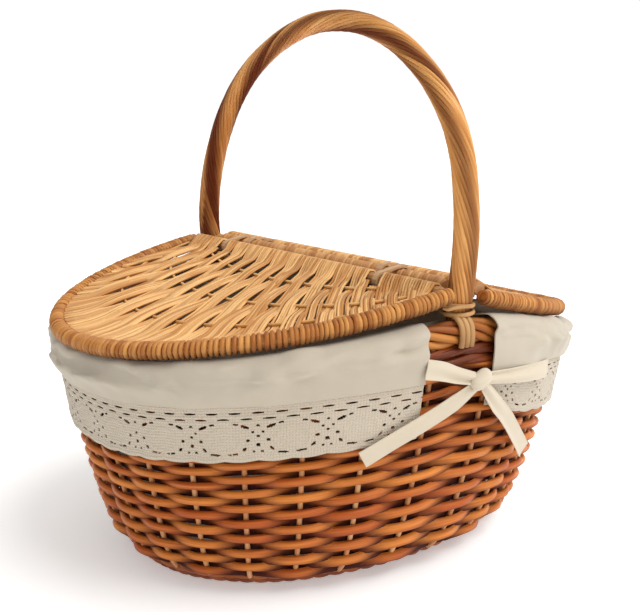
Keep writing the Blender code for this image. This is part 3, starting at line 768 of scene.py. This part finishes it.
def strand_run(side, middle, ridge_off, rim_off, first, number):
    """One strand of a numbered bundle: its points in the lid's space, its sizes and its painted shade, darker
    where it dips.

    It goes from under the hinge rod over it and out to the rim, or starts at the share first of its length.
    """
    points, sizes, shade_values = [], [], []
    y, height = middle + ridge_off, chance.uniform(-0.0003, 0.0003)
    nearer = y * side_near(side)
    wrapped = all(not -0.0105 < nearer - loop < 0.0045 for loop in (LOOP_Y[side], -LOOP_Y[side]))
    hug = HINGE_ROD + WRAP_STRAND
    if wrapped and first == 0:
        for step in range(6):
            angle = math.radians(-70 - 40 * step)
            points.append(Vector((math.cos(angle) * hug, y, math.sin(angle) * hug)))
        sizes, shade_values = [WRAP_STRAND] * 6, [0.2] * 6
    parity = 1 if number % 2 else -1
    for step in range(1, 31):
        t = step / 30
        offset = ridge_off + (rim_off - ridge_off) * min(1.0, t * 1.6)
        spot = strand_spot(side, middle + offset, t)
        if spot.x < (0.004 if wrapped else 0.010) or t < first:
            continue
        beside = strand_spot(side, middle + offset + BUNDLE_PITCH / 4, t)
        spread = (beside - spot).length * math.cos(math.radians(25))
        levels = [math.hypot((spot.x + HINGE_X) / half_x, spot.y / half_y) for half_x, half_y in CROSS_RODS]
        phase = cross_phase(levels)
        lift = parity * math.cos(math.pi * phase) * (STRAND + CROSS_ROD) * 0.72
        ease = min(1.0, (spot.x - 0.003) / 0.012)
        lift = lift * ease + (1 - ease) * 0.0050
        settle = max(0.0, (t - 0.92) / 0.08)
        points.append(spot + Vector((0.0, 0.0, lift * (1 - settle) + 0.0020 * settle + height)))
        sizes.append(min(0.0016, max(0.0010, spread * 0.45)))
        # Painted shade: darker where the strand dips under a cross rod
        shade_values.append(clamp(0.20 - 0.32 * parity * math.cos(math.pi * phase) * ease))
    return points, sizes, shade_values


def cross_phase(levels):
    """Counts cross rods outwards, so that it is a whole number on each and halfway between them."""
    if levels[0] < 1:
        return 0.5 + 0.5 * levels[0] ** 2
    for number in range(len(levels) - 1):
        if levels[number] >= 1 > levels[number + 1]:
            inner, outer = levels[number] - 1, 1 - levels[number + 1]
            return 1 + number + inner / (inner + outer)
    return len(levels) + min(0.5, (levels[-1] - 1) * 3.5)


def lid_strands(side):
    runs, sizes, shade_values = [], [], []
    for bundle in range(BUNDLES):
        middle = (bundle - (BUNDLES - 1) / 2) * BUNDLE_PITCH
        for ridge_off, rim_off, first in BUNDLE_STRANDS:
            rim_off = rim_off + chance.uniform(-0.0002, 0.0002)
            first = first and first + chance.uniform(-0.06, 0.06)
            points, thick, depth = strand_run(side, middle, ridge_off, rim_off, first, bundle)
            runs.append(lid_place(side, points))
            sizes.append(thick)
            shade_values.append(depth)
    return runs, sizes, shade_values


def cross_rod_runs(side):
    runs = []
    for half_x, half_y in CROSS_RODS:
        limit = math.acos((HINGE_X + 0.008) / half_x)
        runs.append(lid_place(side, [(half_x * math.cos(angle) - HINGE_X, half_y * math.sin(angle), 0.0)
                                     for angle in (limit * (2 * step / 40 - 1) for step in range(41))]))
    return runs


LID_STRANDS = willow("lid_strands", (0.90, 0.54, 0.215), (0.56, 0.24, 0.062), (0.16, 0.04, 0.008), spread=1.3,
                     fineness=0.35)
LID_RIM_WILLOW = willow("lid_rim", (0.63, 0.29, 0.075), (0.35, 0.11, 0.02), (0.07, 0.015, 0.003), spread=0.9)
for side_name, side in SIDES.items():
    body = f"{side_name}_lid"
    rod_piece(f"{side_name}_rim_stick", [lid_place(side, rim_line(side, WRAP_PITCH)[1:-1])], RIM_CORE,
              LID_RIM_WILLOW, "lid_willow", f"{side_name}_lid_frame", body=body)
    wrap_runs, wrap_sizes, wrap_shading = rim_wraps(side)
    rod_piece(f"{side_name}_rim_wraps", wrap_runs, wrap_sizes, LID_RIM_WILLOW, "lid_willow", body=body,
              closed=True, sides=1, recess=wrap_shading)
    lid_runs, lid_sizes, lid_shading = lid_strands(side)
    # The lid strands also get painted shade on their lower halves.
    rod_piece(f"{side_name}_lid_strands", lid_runs, lid_sizes, LID_STRANDS, "lid_willow",
              f"{side_name}_lid_weave", body=body, sides=1, recess=lid_shading, under=0.5)
    ribs = [f"{side_name}_lid_rib_{number}" for number in (1, 2, 3)]
    rod_piece(f"{side_name}_lid_cross_rods", cross_rod_runs(side), CROSS_ROD, LID_STRANDS, "lid_willow",
              *ribs, body=body)


# ---- lining ---------------------------------------------------------------------------------------
# One bag of plain cream cotton lines the inside. At each end of the basket it goes on over the border as a
# skirt, whose lower edge is sewn to a band of lace.
CLOTH = 0.0010
LINER_INSET = 0.0215
HEM_HEIGHT = 0.117
HEM_DROP = {-1: 0.0165, 1: 0.025}
LACE_HEIGHT = 0.037
SKIRT_GAP = (-0.036, 0.019)


def cloth_group():
    """Node group: the weave and the uneven cream of plain cotton, on the cloth's own flat measure."""
    tree, given, result = new_group("plain cotton", {"Cream": "Color", "Shade": "Color", "Threads": "Float"},
                                    {"Colour": "Color", "Height": "Float"})
    flat = new_node(tree, "Attribute", attribute_name="flat").outputs["Vector"]
    inputs = {"Distortion": 0.6, "Detail": 1.0, "Scale": given["Threads"], "Vector": flat}
    warp, weft = (new_node(tree, "TexWave", inputs, bands_direction=axis).outputs["Fac"] for axis in "XY")
    clouds = new_node(tree, "TexNoise", {"Scale": 28.0, "Detail": 4.0, "Vector": flat}).outputs["Fac"]
    feed(tree, result["Colour"], mixed(tree, clouds, given["Cream"], given["Shade"]))
    feed(tree, result["Height"], maths(tree, "MULTIPLY", warp, weft))
    return tree


COTTON_GROUP = cloth_group()


def cotton(name, cream, shade, threads, bump, depth=0.0003):
    """Matt cotton, from its two creams, its thread count, and how far its weave stands out."""
    material, tree, shader = new_material(name, {"Roughness": 0.92, "Specular IOR Level": 0.2,
                                                 "Sheen Weight": 0.25, "Sheen Roughness": 0.5})
    inputs = {"Cream": (*cream, 1.0), "Shade": (*shade, 1.0), "Threads": threads}
    cloth = new_node(tree, "Group", inputs, node_tree=COTTON_GROUP)
    feed(tree, shader["Base Color"], cloth.outputs["Colour"])
    bumped(tree, shader, cloth.outputs["Height"], bump, depth)
    return material


LINING = cotton("lining_cotton", (0.54, 0.48, 0.39), (0.47, 0.41, 0.32), 250.0, 0.15)


def along_line(points):
    """How far along a line of points each one lies."""
    return np.concatenate([[0.0], np.cumsum(np.linalg.norm(np.diff(points, axis=0), axis=1))])


def sheet_mesh(name, rows, keep=None, thick=CLOTH):
    """A sheet from rows of points, with its flat measure written on it, thickened about its middle."""
    grid = np.array([[tuple(point) for point in row] for row in rows])
    high, wide = grid.shape[:2]
    across, down = along_line(grid[high // 2]), along_line(grid[:, wide // 2])
    numbers = np.arange(high * wide).reshape(high, wide)
    faces = np.stack([numbers[:-1, :-1], numbers[1:, :-1], numbers[1:, 1:], numbers[:-1, 1:]], axis=-1)
    faces = faces.reshape(-1, 4)
    faces = faces if keep is None else faces[keep]
    mesh = bpy.data.meshes.new(name)
    mesh.from_pydata(grid.reshape(-1, 3).tolist(), [], faces.tolist())
    flat = np.stack(np.broadcast_arrays(across[None, :], down[:, None], 0.0), axis=-1)
    put_attribute(mesh, "flat", "FLOAT_VECTOR", flat)
    item = new_item(name, mesh)
    edit_whole(bpy.ops.mesh.delete_loose)
    thickness = item.modifiers.new("thickness", "SOLIDIFY")
    thickness.thickness = thick
    thickness.offset = 0.0
    bpy.ops.object.modifier_apply(modifier="thickness")
    bpy.ops.object.shade_smooth_by_angle(angle=math.radians(50))
    return item


def ripple(place, waves):
    """A smooth uneven wave between about -1 and 1, the sum of a few sines of a place."""
    return sum(size * math.sin(rate * place + start) for rate, start, size in waves)


def liner_rows():
    """The bag from the middle of its floor out and up its wall to just under the border's top."""
    floor, corner = 0.0150, 0.010
    turns = full_turn(200) + [2 * math.pi]
    rows = []
    for share in (0.04, 0.25, 0.5, 0.75, 0.93):
        half = tuple((size - LINER_INSET - corner * 0.6) * share for size in wall_half(floor + corner))
        rows.append([(*oval_point(turn, half), floor + 0.0006 * math.sin(9 * turn + 8 * share))
                     for turn in turns])
    for share in [step / 22 for step in range(23)]:
        row = []
        for turn in turns:
            x = oval_point(turn, RIM_HALF)[0]
            z = floor + corner * 0.35 + (border_top(x) - 0.003 - floor - corner * 0.35) * share
            fold = 0.0014 * ripple(turn, [(23, 0.4, 0.6), (37, 1.9, 0.4)]) * math.sin(math.pi * share) ** 0.5
            row.append((*oval_point(turn, wall_half(max(z, floor + 0.006), -LINER_INSET - 0.0016 + fold)), z))
        rows.append(row)
    return rows


liner = sheet_mesh("lining_bag", liner_rows())
dress(liner, LINING, "basket", "lining_cotton", "liner_bag")


# ---- skirts ---------------------------------------------------------------------------------------
# The lining turned out over the border at each end, from one side of the handle to the other. It is held
# by the ribbons, so it puckers a little under the lid and lies in soft level creases below.
def turn_at(x, half_x):
    """The angle parameter, on the +Y half, where the oval passes x."""
    return math.acos(math.copysign((abs(x) / half_x) ** (OVAL_POWER / 2), x))


def skirt_span(side):
    if side < 0:
        start = turn_at(SKIRT_GAP[0], RIM_HALF[0])
        return start, 2 * math.pi - start
    reach = turn_at(SKIRT_GAP[1], RIM_HALF[0])
    return -reach, reach


def hem(x):
    side = -1 if x < 0 else 1
    return HEM_HEIGHT - HEM_DROP[side] * min(1.0, abs(x) / RIM_HALF[0]) ** 2


SKIRT_PUFF = {-1: 0.0034, 1: 0.0004}
SKIRT_SINK = {-1: 0.0, 1: 0.0022}
SKIRT_COLUMNS = 260
# How far the cloth stands out in its puckers, creases, loose side edges, and broad and fine soft folds.
PUCKER, CREASE, LOOSE_EDGE, BROAD_FOLD, FINE_FOLD = 0.0013, 0.0011, 0.0022, 0.0034, 0.0016
GATHER = 0.0022


def skirt_profile(side, x, fullness):
    """The skirt's section at X: (how far outside the rim, height), from inside the border to the seam."""
    top, seam = border_top(x) - SKIRT_SINK[side] * min(1.0, abs(x) / 0.12) ** 2, hem(x) + LACE_HEIGHT
    width = BORDER_SIZE[0]
    wall_out = wall_half(seam, 0.0034)[0] - RIM_HALF[0]
    puff = SKIRT_PUFF[side] * fullness
    return smooth_line([(-width - 0.0066, top - 0.0080, 0), (-width - 0.0052, top - 0.0012, 0),
                        (-width / 2, top + 0.0022, 0), (-0.0022, top + 0.0018, 0), (0.0024, top - 0.0020, 0),
                        (0.0034 + puff * 0.7, top - 0.0085, 0),
                        ((wall_out + 0.0036) / 2 + puff, (top + seam) / 2 - 0.001, 0),
                        (wall_out, seam, 0)], 5)


def skirt_rows(side):
    start, end = skirt_span(side)
    columns = []
    for step in range(SKIRT_COLUMNS + 1):
        turn = start + (end - start) * step / SKIRT_COLUMNS
        edge = min(step, SKIRT_COLUMNS - step) / SKIRT_COLUMNS
        profile = skirt_profile(side, oval_point(turn, RIM_HALF)[0], min(1.0, edge * 12))
        columns.append([skirt_spot(turn, spot, number / (len(profile) - 1), edge)
                        for number, spot in enumerate(profile)])
    return [list(row) for row in zip(*columns)]


def skirt_spot(turn, spot, share, edge):
    """A point of the skirt, moved outwards by its puckers near the top and its level creases below."""
    hanging = max(0.0, (share - 0.45) / 0.55)
    pucker = PUCKER * max(0.0, ripple(turn, [(19, 0.6, 0.6), (31, 2.0, 0.4), (47, 0.3, 0.25)]))
    pucker *= math.sin(math.pi * min(1.0, hanging * 1.3)) if hanging < 0.77 else 0.0
    crease = CREASE * math.sin(hanging * 9 + 1.8 * math.sin(4.3 * turn)) * math.sin(math.pi * hanging)
    at_edge = math.exp(-(edge * SKIRT_COLUMNS / 5.0) ** 2)
    loose = LOOSE_EDGE * at_edge * math.sin(math.pi * min(1.0, hanging * 1.05))
    out = spot.x + pucker + crease + loose
    soft = (BROAD_FOLD * noise.noise(Vector((turn * 5.0, share * 4.0, 0.7)))
            + FINE_FOLD * noise.noise(Vector((turn * 13, share * 9, 3.1))))
    soft = max(-0.0008, soft)
    out += soft * math.sin(math.pi * hanging) + 0.5 * soft * (hanging > 0)
    gathers = max(0.0, ripple(turn, [(17, 0.2, 0.7), (29, 1.1, 0.4)]))
    lifted = GATHER * gathers * math.exp(-((share - 0.5) / 0.16) ** 2)
    half = tuple(size + out for size in RIM_HALF)
    return (*oval_point(turn, half), spot.y + lifted)


for side_name, side in SIDES.items():
    skirt = sheet_mesh(f"{side_name}_skirt_cloth", skirt_rows(side))
    dress(skirt, LINING, "basket", "lining_cotton", f"{side_name}_skirt")


# ---- lace -----------------------------------------------------------------------------------------
# Machine-made cotton lace: two rows of slots below the seam, then plain ovals ringed with holes, and a
# thick, gently scalloped hem.
LACE_CELL = 0.00078
MOTIF = 0.042
SLOT_PITCH = MOTIF / 3
# The ribbon gathers the right band's corners up by this share of its height.
CORNER_PULL, CORNER_REACH = {-1: 0.0, 1: 0.36}, 0.032
# Holes of one motif: (along, up from the hem, half length, half height, slope in degrees), in millimetres.
MOTIF_HOLES = [(13.2, 23.3, 3.1, 0.95, -24), (7.3, 25.2, 1.9, 0.75, -12), (14.8, 14.2, 1.25, 1.05, 0),
               (12.6, 8.6, 1.7, 0.85, 42), (6.2, 5.4, 4.2, 0.70, 11), (17.9, 19.4, 0.95, 0.75, 0),
               (18.4, 6.4, 1.05, 0.75, -30)]
BETWEEN_HOLES = [(21.0, 16.6, 1.1, 0.9, 0), (21.0, 10.6, 1.35, 1.25, 0), (21.0, 23.8, 1.2, 0.8, 0)]


def hole_depth(s, h, along, up, length, height, slope):
    """Below 1 inside an oval hole. s and h are arrays in millimetres."""
    turn = math.radians(slope)
    ahead = (s - along) * math.cos(turn) + (h - up) * math.sin(turn)
    above = (h - up) * math.cos(turn) - (s - along) * math.sin(turn)
    return np.sqrt((ahead / length) ** 2 + (above / height) ** 2)


def lace_holes(s, h):
    """The least hole depth over the whole pattern, at places along and up the band in millimetres."""
    motif, pitch = MOTIF * 1000, SLOT_PITCH * 1000
    within = (s + motif / 2) % motif - motif / 2
    depth = np.full(s.shape, 9.0)
    for along, up, length, height, slope in MOTIF_HOLES:
        for mirror in (-1, 1):
            hole = hole_depth(within, h, mirror * along, up, length, height, mirror * slope)
            depth = np.minimum(depth, hole)
    for along, up, length, height, slope in BETWEEN_HOLES:
        depth = np.minimum(depth, hole_depth(np.abs(within), h, along, up, length, height, slope))
    for up, shift in ((32.2, 0.0), (28.4, 0.5)):
        slot = (s + shift * pitch) % pitch - pitch / 2
        depth = np.minimum(depth, hole_depth(slot, h, 0.0, up, 3.7, 0.72, 0))
    return depth


def lace_relief(s, h):
    """How far cords stand out of the lace: round each oval, between the slots and at the hem."""
    motif = MOTIF * 1000
    within = (s + motif / 2) % motif - motif / 2
    oval = np.hypot(within / 10.6, (h - 14.5) / 7.6)
    ring = np.exp(-((oval - 1) / 0.09) ** 2)
    cords = sum(np.exp(-((h - up) / 0.6) ** 2) for up in (35.4, 30.3, 26.6))
    return 0.7 * ring + 0.6 * cords + np.exp(-((h - 1.6) / 1.5) ** 2)


def lace_sheet(side_name, side):
    start, end = skirt_span(side)
    fine = np.linspace(start, end, 1200)
    middle = np.array([oval_point(turn, wall_half(0.125)) for turn in fine])
    arc = along_line(middle)
    columns = int(arc[-1] / LACE_CELL)
    rows = int(LACE_HEIGHT / LACE_CELL)
    s = np.broadcast_to(np.linspace(0, arc[-1], columns + 1) * 1000, (rows + 1, columns + 1)).copy()
    h = np.broadcast_to(np.linspace(LACE_HEIGHT, 0, rows + 1)[:, None] * 1000, s.shape).copy()
    depth = lace_holes(s, h)
    s, h = fit_to_holes(s, h, depth)
    outside = lace_holes(s, h) > 0.96
    keep = np.where((outside[:-1, :-1] & outside[1:, :-1] & outside[:-1, 1:] & outside[1:, 1:]).ravel())[0]
    relief = lace_relief(s, h)
    turns = np.interp(s / 1000, arc, fine)
    grid = []
    for row in range(rows + 1):
        line = []
        for column in range(columns + 1):
            turn, up = turns[row, column], h[row, column] / 1000
            x = oval_point(turn, RIM_HALF)[0]
            below = 1 - up / LACE_HEIGHT
            scallop = -0.0011 * abs(math.sin(math.pi * s[row, column] / (MOTIF * 500))) * below
            gathered = CORNER_PULL[side] * math.exp(-((x - SKIRT_GAP[1]) / CORNER_REACH) ** 2)
            z = hem(x) + LACE_HEIGHT - (LACE_HEIGHT - up - scallop) * (1 - gathered)
            out = 0.0023 + 0.0005 * relief[row, column]
            out += 0.0007 * (0.5 + 0.5 * math.sin(23 * turn + 1.3)) * below
            line.append((*oval_point(turn, wall_half(z, out)), z))
        grid.append(line)
    return sheet_mesh(f"{side_name}_lace_band", grid, keep=keep, thick=0.0008), arc[-1]


def fit_to_holes(s, h, depth):
    """Moves the points near a hole's edge onto it, so that its outline is smooth."""
    step = 0.05
    for _ in range(2):
        slope_s = (lace_holes(s + step, h) - depth) / step
        slope_h = (lace_holes(s, h + step) - depth) / step
        steep = slope_s ** 2 + slope_h ** 2 + 1e-6
        move_s, move_h = -(depth - 1) * slope_s / steep, -(depth - 1) * slope_h / steep
        near = np.hypot(move_s, move_h) < LACE_CELL * 1000 * 0.55
        near[0], near[-1], near[:, 0], near[:, -1] = False, False, False, False
        s, h = s + np.where(near, move_s, 0), h + np.where(near, move_h, 0)
        depth = lace_holes(s, h)
    return s, h


LACE_COTTON = cotton("lace_cotton", (0.58, 0.51, 0.41), (0.50, 0.42, 0.32), 160.0, 0.7, depth=0.0006)
for side_name, side in SIDES.items():
    lace, lace_length = lace_sheet(side_name, side)
    dress(lace, LACE_COTTON, "basket", "cotton_lace", f"{side_name}_lace")


# ---- ribbons --------------------------------------------------------------------------------------
# Cream cotton tape. A tie sewn to each skirt's corner runs to the middle under the handle, where the two are
# knotted, and their tails hang apart down the wall.
KNOT = (0.0050, 0.1518)
KNOT_OFF = 0.0085
KNOT_LEAN = (0.88, 0.475)
KNOT_HALF = (0.0086, 0.0044, 0.0058)
LEADS = {"left": [(-0.0385, 0.1640, 0.0060), (-0.026, 0.1612, 0.0064), (-0.014, 0.1570, 0.0068),
                  (0.0000, 0.1530, 0.0082)],
         "right": [(0.0840, 0.1440, 0.0064), (0.060, 0.1462, 0.0068), (0.036, 0.1485, 0.0072),
                   (0.0110, 0.1515, 0.0082)]}
TAILS = {"left": [(0.0020, 0.1480, 0.0084), (-0.014, 0.1385, 0.0078), (-0.036, 0.1275, 0.0070),
                  (-0.056, 0.1175, 0.0066), (-0.0735, 0.1075, 0.0066)],
         "right": [(0.0090, 0.1470, 0.0084), (0.025, 0.1310, 0.0078), (0.040, 0.1180, 0.0066),
                   (0.060, 0.0990, 0.0052), (0.079, 0.0810, 0.0048)]}
TIE_WIDTH, TAIL_WIDTH, KNOT_WIDTH = 0.0130, 0.0115, 0.0082
TAPE = 0.0007
# Widths and creasing along a tie and along a tail, from its far end to the knot or from the knot on.
TIE_WIDTHS = [TIE_WIDTH, TIE_WIDTH * 0.95, TIE_WIDTH * 0.8, KNOT_WIDTH]
TAIL_WIDTHS = [KNOT_WIDTH, TAIL_WIDTH, TAIL_WIDTH, TAIL_WIDTH, TAIL_WIDTH * 1.05]
TIE_CREASES, TAIL_CREASES = [0.15, 0.5, 1.0, 1.2], [1.2, 0.5, 0.15, 0.1, 0.1]


def wall_place(end, x, z, off):
    """A point off the wall's outside at X and a height, on the near or far face."""
    half = wall_half(z, off)
    return Vector((x, end * half[1] * (1 - (abs(x) / half[0]) ** OVAL_POWER) ** (1 / OVAL_POWER), z))


def ribbon_rows(end, route, widths, creases, curl):
    """A ribbon on a smooth line off the wall, creased along its length where the knot pulls it together."""
    line = [wall_place(end, *spot) for spot in smooth_line(route, 8)]
    stations = np.linspace(0, len(widths) - 1, len(line))
    sizes = np.interp(stations, range(len(widths)), widths)
    pulled = np.interp(stations, range(len(widths)), creases)
    rows = []
    for step, (point, width, pull) in enumerate(zip(line, sizes, pulled)):
        run = (line[min(step + 1, len(line) - 1)] - line[max(step - 1, 0)]).normalized()
        out = Vector((0.0, end, 0.0))
        out = (out - run * out.dot(run)).normalized()
        across = run.cross(out)
        row = []
        for spot in range(15):
            share = spot / 14 * 2 - 1
            fold = 0.0011 * pull * math.cos(share * 4.2 + 0.9) + curl * 0.0006 * share * share
            row.append(point + across * share * width / 2 + out * fold)
        rows.append(row)
    return rows


def knot_shape(end_name, end):
    """The knot: tape lapped slantwise over the crossing, so a blunt barrel with its folds as long grooves."""
    centre = wall_place(end, KNOT[0], KNOT[1], KNOT_OFF)
    along, across = Vector((KNOT_LEAN[0], 0.0, KNOT_LEAN[1])), Vector((-KNOT_LEAN[1], 0.0, KNOT_LEAN[0]))
    bpy.ops.object.select_all(action="DESELECT")
    bpy.ops.mesh.primitive_uv_sphere_add(segments=48, ring_count=32, radius=1.0)
    item = bpy.context.object
    item.name = f"{end_name}_ribbon_knot"
    for vertex in item.data.vertices:
        x, y, z = vertex.co
        lap = 0.26 * abs(math.sin(2.7 * z + 0.7 * x + 0.5)) ** 0.6 - 0.12
        blunt = math.copysign(abs(x) ** 0.75, x)
        waist = 1.0 + 0.16 * x * x
        vertex.co = centre + along * blunt * KNOT_HALF[0] + across * z * KNOT_HALF[2] * waist
        vertex.co.y += y * KNOT_HALF[1] * (1 + lap)
    flat = [(vertex.co.x, vertex.co.z, 0.0) for vertex in item.data.vertices]
    put_attribute(item.data, "flat", "FLOAT_VECTOR", flat)
    bpy.ops.object.shade_smooth()
    return item


RIBBON_COTTON = cotton("ribbon_cotton", (0.66, 0.58, 0.46), (0.58, 0.49, 0.37), 300.0, 0.15)
for end_name, end in ENDS.items():
    knot = knot_shape(end_name, end)
    dress(knot, RIBBON_COTTON, "basket", "ribbon_cotton", f"{end_name}_knot")
    for side_name in SIDES:
        tie_rows = ribbon_rows(end, LEADS[side_name], TIE_WIDTHS, TIE_CREASES, 0.0)
        tie = sheet_mesh(f"{end_name}_{side_name}_tie_cloth", tie_rows, thick=TAPE)
        dress(tie, RIBBON_COTTON, "basket", "ribbon_cotton", f"{end_name}_{side_name}_tie")
        tail_rows = ribbon_rows(end, TAILS[side_name], TAIL_WIDTHS, TAIL_CREASES, 1.0)
        tail = sheet_mesh(f"{end_name}_{side_name}_tail_cloth", tail_rows, thick=TAPE)
        dress(tail, RIBBON_COTTON, "basket", "ribbon_cotton", f"{end_name}_{side_name}_tail")


# ---- studio ---------------------------------------------------------------------------------------
# A white sweep under the basket, one broad high light from the right, and a pale surround that is brighter
# on the right than on the left. The camera sees plain white behind.
bpy.ops.object.select_all(action="DESELECT")
bpy.ops.mesh.primitive_plane_add(size=30.0, location=(0.0, 0.0, -0.0003))
sweep = bpy.context.object
sweep.name = "studio_floor"
sweep.data.materials.append(new_material("studio_white", {
    "Base Color": (0.90, 0.90, 0.90, 1.0), "Roughness": 0.9, "Emission Color": (1.0, 1.0, 1.0, 1.0),
    "Emission Strength": 0.33})[0])

CAMERA_AZIMUTH, CAMERA_ELEVATION = math.radians(-34.39), math.radians(10.99)
CAMERA_DISTANCE = 0.7694
CAMERA_TARGET = Vector((0.0033, -0.0023, 0.1709))
back = Vector((math.sin(CAMERA_AZIMUTH) * math.cos(CAMERA_ELEVATION),
               -math.cos(CAMERA_AZIMUTH) * math.cos(CAMERA_ELEVATION), math.sin(CAMERA_ELEVATION)))
camera = new_item("camera", bpy.data.cameras.new("camera"))
camera.data.sensor_width = 36.0
camera.data.lens = 55.36
camera.location = CAMERA_TARGET + back * CAMERA_DISTANCE
camera.rotation_mode = "QUATERNION"
camera.rotation_quaternion = (-back).to_track_quat("-Z", "Y")
camera.data.clip_start, camera.data.clip_end = 0.01, 100.0
bpy.context.scene.camera = camera

SURROUND = 0.74
world = bpy.data.worlds.new("studio")
bpy.context.scene.world = world
world.use_nodes = True
sky = world.node_tree
right = Vector((math.cos(CAMERA_AZIMUTH), math.sin(CAMERA_AZIMUTH), 0.0))
facing = new_node(sky, "VectorMath", {0: new_node(sky, "TexCoord").outputs["Generated"], 1: right},
                  operation="DOT_PRODUCT")
brighten = new_node(sky, "MapRange", {"Value": facing.outputs["Value"], "From Min": -1.0,
                                      "To Min": SURROUND * 0.50, "To Max": SURROUND * 1.35})
glow = sky.nodes["Background"]
glow.inputs["Color"].default_value = (1.0, 0.985, 0.96, 1.0)
feed(sky, glow.inputs["Strength"], brighten.outputs["Result"])
seen = new_node(sky, "Background", {"Color": (1.0, 1.0, 1.0, 1.0), "Strength": 1.05})
choose = new_node(sky, "MixShader", {0: new_node(sky, "LightPath").outputs["Is Camera Ray"],
                                     1: glow.outputs["Background"], 2: seen.outputs["Background"]})
feed(sky, sky.nodes["World Output"].inputs["Surface"], choose.outputs["Shader"])

toward_light = (right * 0.66 + back * 0.28 + Vector((0.0, 0.0, 1.1))).normalized()
lamp = new_item("high_light", bpy.data.lights.new("high_light", "SUN"))
lamp.data.energy = 1.9
lamp.data.angle = math.radians(40)
lamp.rotation_mode = "QUATERNION"
lamp.rotation_quaternion = toward_light.to_track_quat("Z", "Y")
bpy.context.scene.view_settings.view_transform = "Standard"
